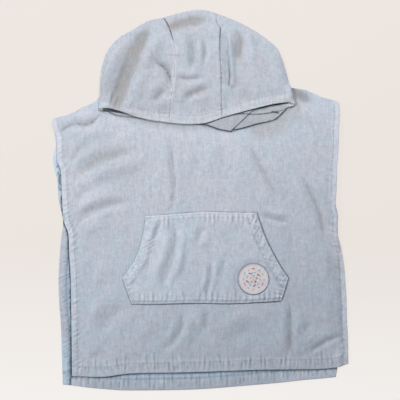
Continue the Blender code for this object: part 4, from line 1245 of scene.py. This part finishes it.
# ---- small pieces laid on the cloth
# One stitch: (share of its length, share of its thickness) for each ring, the angles round a ring, and how
# far its middle rises and its ends sink, in mm.
STITCH_PROFILE = [(0.0, 0.35), (0.2, 0.9), (0.5, 1.0), (0.8, 0.9), (1.0, 0.35)]
STITCH_ANGLES = (0, pi / 3, 2 * pi / 3, pi, 1.5 * pi)
STITCH_RISE, STITCH_SUNK = 0.30, 0.06
MARK_SIDES = 16             # corners of a printed mark's outline


def height_finder(*pieces):
    """Function that gives the height of the pieces' upper side at a point, in raw millimetres."""
    trees = [BVHTree.FromPolygons([v.co[:] for v in piece.data.vertices],
                                  [p.vertices[:] for p in piece.data.polygons]) for piece in pieces]

    def height(x, y):
        start = Vector(((x + SHIFT[0]) * METRE, (y + SHIFT[1]) * METRE, 0.1))
        hits = [tree.ray_cast(start, Vector((0, 0, -1)))[0] for tree in trees]
        hits = [hit.z / METRE for hit in hits if hit is not None]
        return max(hits) if hits else None

    return height


def tube_faces(first, sides, rings):
    """Faces of a closed tube of rings of points, which start at a number: its wall, then both ends."""
    last = first + (rings - 1) * sides
    wall = [[ring + k, ring + (k + 1) % sides, ring + (k + 1) % sides + sides, ring + k + sides]
            for ring in range(first, last, sides) for k in range(sides)]
    return wall + [list(range(first, first + sides))[::-1], list(range(last, last + sides))]


def threads(name, lines, height, material, pitch=4.0, length=3.0, width=0.62, seed=1):
    """Running stitches along each line of raw (x, y) points, as short rounded threads on the cloth."""
    draw = np.random.RandomState(seed)
    points, faces = [], []
    for line in lines:
        full = arc(line)[-1]
        at = min(pitch * 0.5, (full - length) / 2)
        while at + length <= full + 1e-6:
            stretch = min(length * draw.uniform(0.85, 1.1), full - at)
            start, end = at_distances(line, (at, at + stretch))
            heading = (end - start) / max(np.linalg.norm(end - start), 1e-6)
            side = np.array([-heading[1], heading[0]])
            centres = [start + (end - start) * share for share, _ in STITCH_PROFILE]
            grounds = [height(*centre) for centre in centres]
            if None not in grounds:
                faces += tube_faces(len(points), len(STITCH_ANGLES), len(STITCH_PROFILE))
                for (share, size), centre, ground in zip(STITCH_PROFILE, centres, grounds):
                    rise = STITCH_RISE * sin(pi * share) - STITCH_SUNK
                    points += [np.append(centre + side * width / 2 * size * cos(a),
                                         ground + rise + STITCH_RISE * size * sin(a)) for a in STITCH_ANGLES]
            at += pitch * draw.uniform(0.94, 1.06)
    return mesh_piece(name, points, faces, [material])


def bar_tack(start, end, width, rows=9):
    """Slanted cross stitches of a bar tack between two points of the photograph, one line each."""
    start, end = from_photo([start, end])
    step = unit(end - start)
    side = np.array([-step[1], step[0]]) * width / 2
    return [np.array([start + (end - start) * k / rows + side,
                      start + (end - start) * (k + 0.45) / rows - side]) for k in range(rows)]


def badge_print(height, colours):
    """Generic printed sprinkles: a small blossom in the middle of a loose ring of dashes and dots."""
    draw = np.random.RandomState(7)
    # rows of (distance from the middle, angle, half length, half width, number of the colour, turn)
    marks = [(6.8, 2 * pi * k / 5 + 0.3, 2.9, 2.4, k % len(colours), 0.0) for k in range(5)]
    marks.append((0.0, 0.0, 2.4, 2.4, 2, 0.0))
    marks += [(14.0, 2 * pi * k / 9 + draw.uniform(-0.1, 0.1), 3.9, 1.5, (k * 3 + 1) % len(colours),
               draw.uniform(-0.9, 0.9)) for k in range(9)]
    marks += [(22.0 + draw.uniform(-0.8, 0.8), 2 * pi * k / 12 + draw.uniform(-0.08, 0.08),
               3.8 if k % 2 else 1.7, 1.6, (k * 2 + k // 4) % len(colours), draw.uniform(-0.7, 0.7))
              for k in range(12)]
    points, faces, slots = [], [], []
    for distance, angle, long, short, colour, turn in marks:
        centre = np.array(round_badge_centre(distance, angle))
        heading = angle + pi / 2 + turn
        outline = []
        for k in range(MARK_SIDES):
            a = 2 * pi * k / MARK_SIDES
            ahead = short * cos(a) + (long - short if cos(a) > 0 else short - long)
            left = short * sin(a)
            outline.append(centre + np.array([cos(heading) * ahead - sin(heading) * left,
                                              sin(heading) * ahead + cos(heading) * left]))
        highest_ground = max(height(*p) for p in outline + [centre])
        lowest_ground = min(height(*p) for p in outline)
        faces += tube_faces(len(points), MARK_SIDES, 2)
        slots += [colour] * (MARK_SIDES + 2)
        points += [np.append(p, z) for z in (lowest_ground - 0.05, highest_ground + 0.09) for p in outline]
    piece = mesh_piece("badge_print", points, faces, colours, smooth=False)
    piece.data.polygons.foreach_set("material_index", slots)
    return piece


# ---- camera, light and floor
FLOOR_HALF, FLOOR_TOP = 40.0, -0.0004       # metres, as all that follows here
CLOTH_LEVEL = 0.006                         # the camera's picture is to scale at this height


def stage_and_light():
    lens, sensor, view = 70.0, 36.0, PICTURE * PIXEL * METRE
    camera = placed("camera", bpy.data.cameras.new("camera"))
    camera.data.lens, camera.data.sensor_width = lens, sensor
    camera.location = (SHIFT[0] * METRE, SHIFT[1] * METRE, CLOTH_LEVEL + view * lens / sensor)
    bpy.context.scene.camera = camera
    mesh = bpy.data.meshes.new("floor")
    corners = ((-1, -1), (1, -1), (1, 1), (-1, 1))
    mesh.from_pydata([(FLOOR_HALF * i, FLOOR_HALF * j, FLOOR_TOP) for i, j in corners], [], [(0, 1, 2, 3)])
    mesh.materials.append(floor_material())
    floor = placed("floor", mesh)
    for name, place, target, width, power, colour in (
            ("key", (-1.40, 0.30, 1.25), (0.0, 0.05, 0.0), 0.40, 20.5, (1.0, 0.99, 0.975)),
            ("fill", (0.40, 0.95, 1.05), (0.0, 0.0, 0.0), 0.60, 13.0, (0.98, 0.99, 1.0))):
        lamp = bpy.data.lights.new(name, "AREA")
        lamp.shape, lamp.size, lamp.energy, lamp.color = "DISK", width, power, colour
        light = placed(name, lamp)
        light.location = place
        light.rotation_mode = "QUATERNION"
        light.rotation_quaternion = (Vector(target) - Vector(place)).to_track_quat("-Z", "Y")
    world = bpy.data.worlds.new("studio")
    world.use_nodes = True
    background = world.node_tree.nodes["Background"].inputs
    background["Color"].default_value, background["Strength"].default_value = (0.93, 0.95, 1.0, 1), 0.19
    bpy.context.scene.world = world
    bpy.context.scene.view_settings.view_transform = "Standard"


# ---- the whole garment
def build_poncho():
    blue = cloth_material("terry_pale_blue", (0.498, 0.557, 0.631), (0.539, 0.558, 0.625), 0.35, painted_falloff=True)
    inside = cloth_material("terry_inner_face", (0.390, 0.510, 0.635), (0.425, 0.525, 0.635), 0.9, 0.5,
                            low_tint=(1.22, 1.05, 0.98))
    # The hood's terry is a darker copy of the front's, painted shade against the stronger light on the hood,
    # with a deeper painted shade in its folds.
    hood = cloth_material("terry_hood_blue", (0.446, 0.500, 0.564), (0.480, 0.496, 0.550), 0.35,
                          low_tint=(0.74, 0.69, 0.635))
    # The pocket's terry is a lighter copy of the front's: painted light.
    pocket_blue = cloth_material("terry_pocket_blue", (0.520, 0.587, 0.667), (0.556, 0.584, 0.659), 0.35,
                                 painted_falloff=True)
    cotton = cloth_material("badge_cotton", (0.692, 0.672, 0.708), (0.722, 0.688, 0.718), 0.0, 0.15, 0.1)
    thread = thread_material("thread_blue", (0.40, 0.45, 0.53))
    pale_thread = thread_material("thread_pale", (0.55, 0.60, 0.66))
    inks = [print_material("ink_" + name, colour) for name, colour in (
        ("coral", (0.60, 0.20, 0.17)), ("sky", (0.32, 0.46, 0.60)), ("yellow", (0.66, 0.52, 0.20)),
        ("rose", (0.62, 0.33, 0.36)), ("plum", (0.24, 0.10, 0.16)), ("green", (0.36, 0.50, 0.38)))]

    back = build_back(inside)
    front = build_front(blue)
    left = build_hood_piece("hood_left_cloth", HOOD_LEFT, 8, (False, True), hood, 101)
    centre = build_hood_piece("hood_centre_cloth", HOOD_CENTRE, 13, (True, True), hood, 121)
    right = build_hood_piece("hood_right_cloth", HOOD_RIGHT, 8, (True, False), hood, 141, (0.8, 2.2))
    pocket = build_pocket(pocket_blue)
    badge = build_badge(cotton)

    side_stitch, bottom_stitch = SIDE_HEM - STITCH_INSET, BOTTOM_HEM - STITCH_INSET
    opening_stitch = OPENING_HEM - STITCH_INSET
    front_stitches = threads("front_stitches", [
        inset(FRONT_LEFT, side_stitch), inset(FRONT_RIGHT, -side_stitch), inset(FRONT_BOTTOM, bottom_stitch)],
        height_finder(front), thread, seed=3)
    back_stitches = threads("back_stitches", [
        inset(BACK_LEFT, side_stitch), inset(BACK_BOTTOM, bottom_stitch)],
        height_finder(back), thread, seed=4)
    brim = [row[:2] for row in HOOD_LEFT[12:] + HOOD_CENTRE[1:] + HOOD_RIGHT[1:11]]
    hood_stitches = threads("hood_stitches", [inset(brim, BRIM_HEM - BRIM_STITCH)],
                            height_finder(left, centre, right), thread, seed=5)
    on_pocket, on_badge = height_finder(pocket), height_finder(badge)
    pocket_stitches = threads("pocket_stitches", [inset(line, distance) for line, distance in (
        (POCKET_LEFT_OPENING, -opening_stitch), (POCKET_LEFT_OPENING, -EDGE_STITCH),
        (POCKET_RIGHT_OPENING, opening_stitch), (POCKET_RIGHT_OPENING, EDGE_STITCH),
        (POCKET_TOP, -EDGE_STITCH), (POCKET_BOTTOM, EDGE_STITCH), (POCKET_LEFT_SIDE, -EDGE_STITCH),
        (POCKET_RIGHT_SIDE, EDGE_STITCH))], on_pocket, pale_thread, seed=6)
    pocket_tack = threads("pocket_tack", bar_tack((263.5, 267), (273.5, 267.5), 4.0), on_pocket, thread,
                          4.6, 3.4, 0.8, 8)
    side_tacks = threads("side_tacks", bar_tack((63.5, 213), (65.5, 222), 5.0)
                         + bar_tack((334, 204.5), (336.5, 214), 5.0),
                         height_finder(front, back), thread, 5.6, 4.2, 0.8, 9)
    circle = np.array([round_badge_centre(BADGE_RADIUS - 2.4, a) for a in np.linspace(0, 2 * pi, 120)])
    badge_stitches = threads("badge_stitches", [circle], on_badge, thread, 2.6, 1.9, 0.45, 10)
    print_marks = badge_print(on_badge, inks)

    for piece, node, slot in (
            (back, "back_panel", "terry_inner_face"), (front, "front_panel", "terry_pale_blue"),
            (left, "hood_left", "terry_hood_blue"), (centre, "hood_centre", "terry_hood_blue"),
            (right, "hood_right", "terry_hood_blue"), (pocket, "kangaroo_pocket", "terry_pocket_blue"),
            (badge, "badge", "badge_cotton")):
        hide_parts(node)
    for piece in (back, front, left, centre, right, pocket, badge, front_stitches, back_stitches,
                  hood_stitches, pocket_stitches, pocket_tack, side_tacks, badge_stitches, print_marks):
        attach(piece, "root")


stage_and_light()
build_poncho()
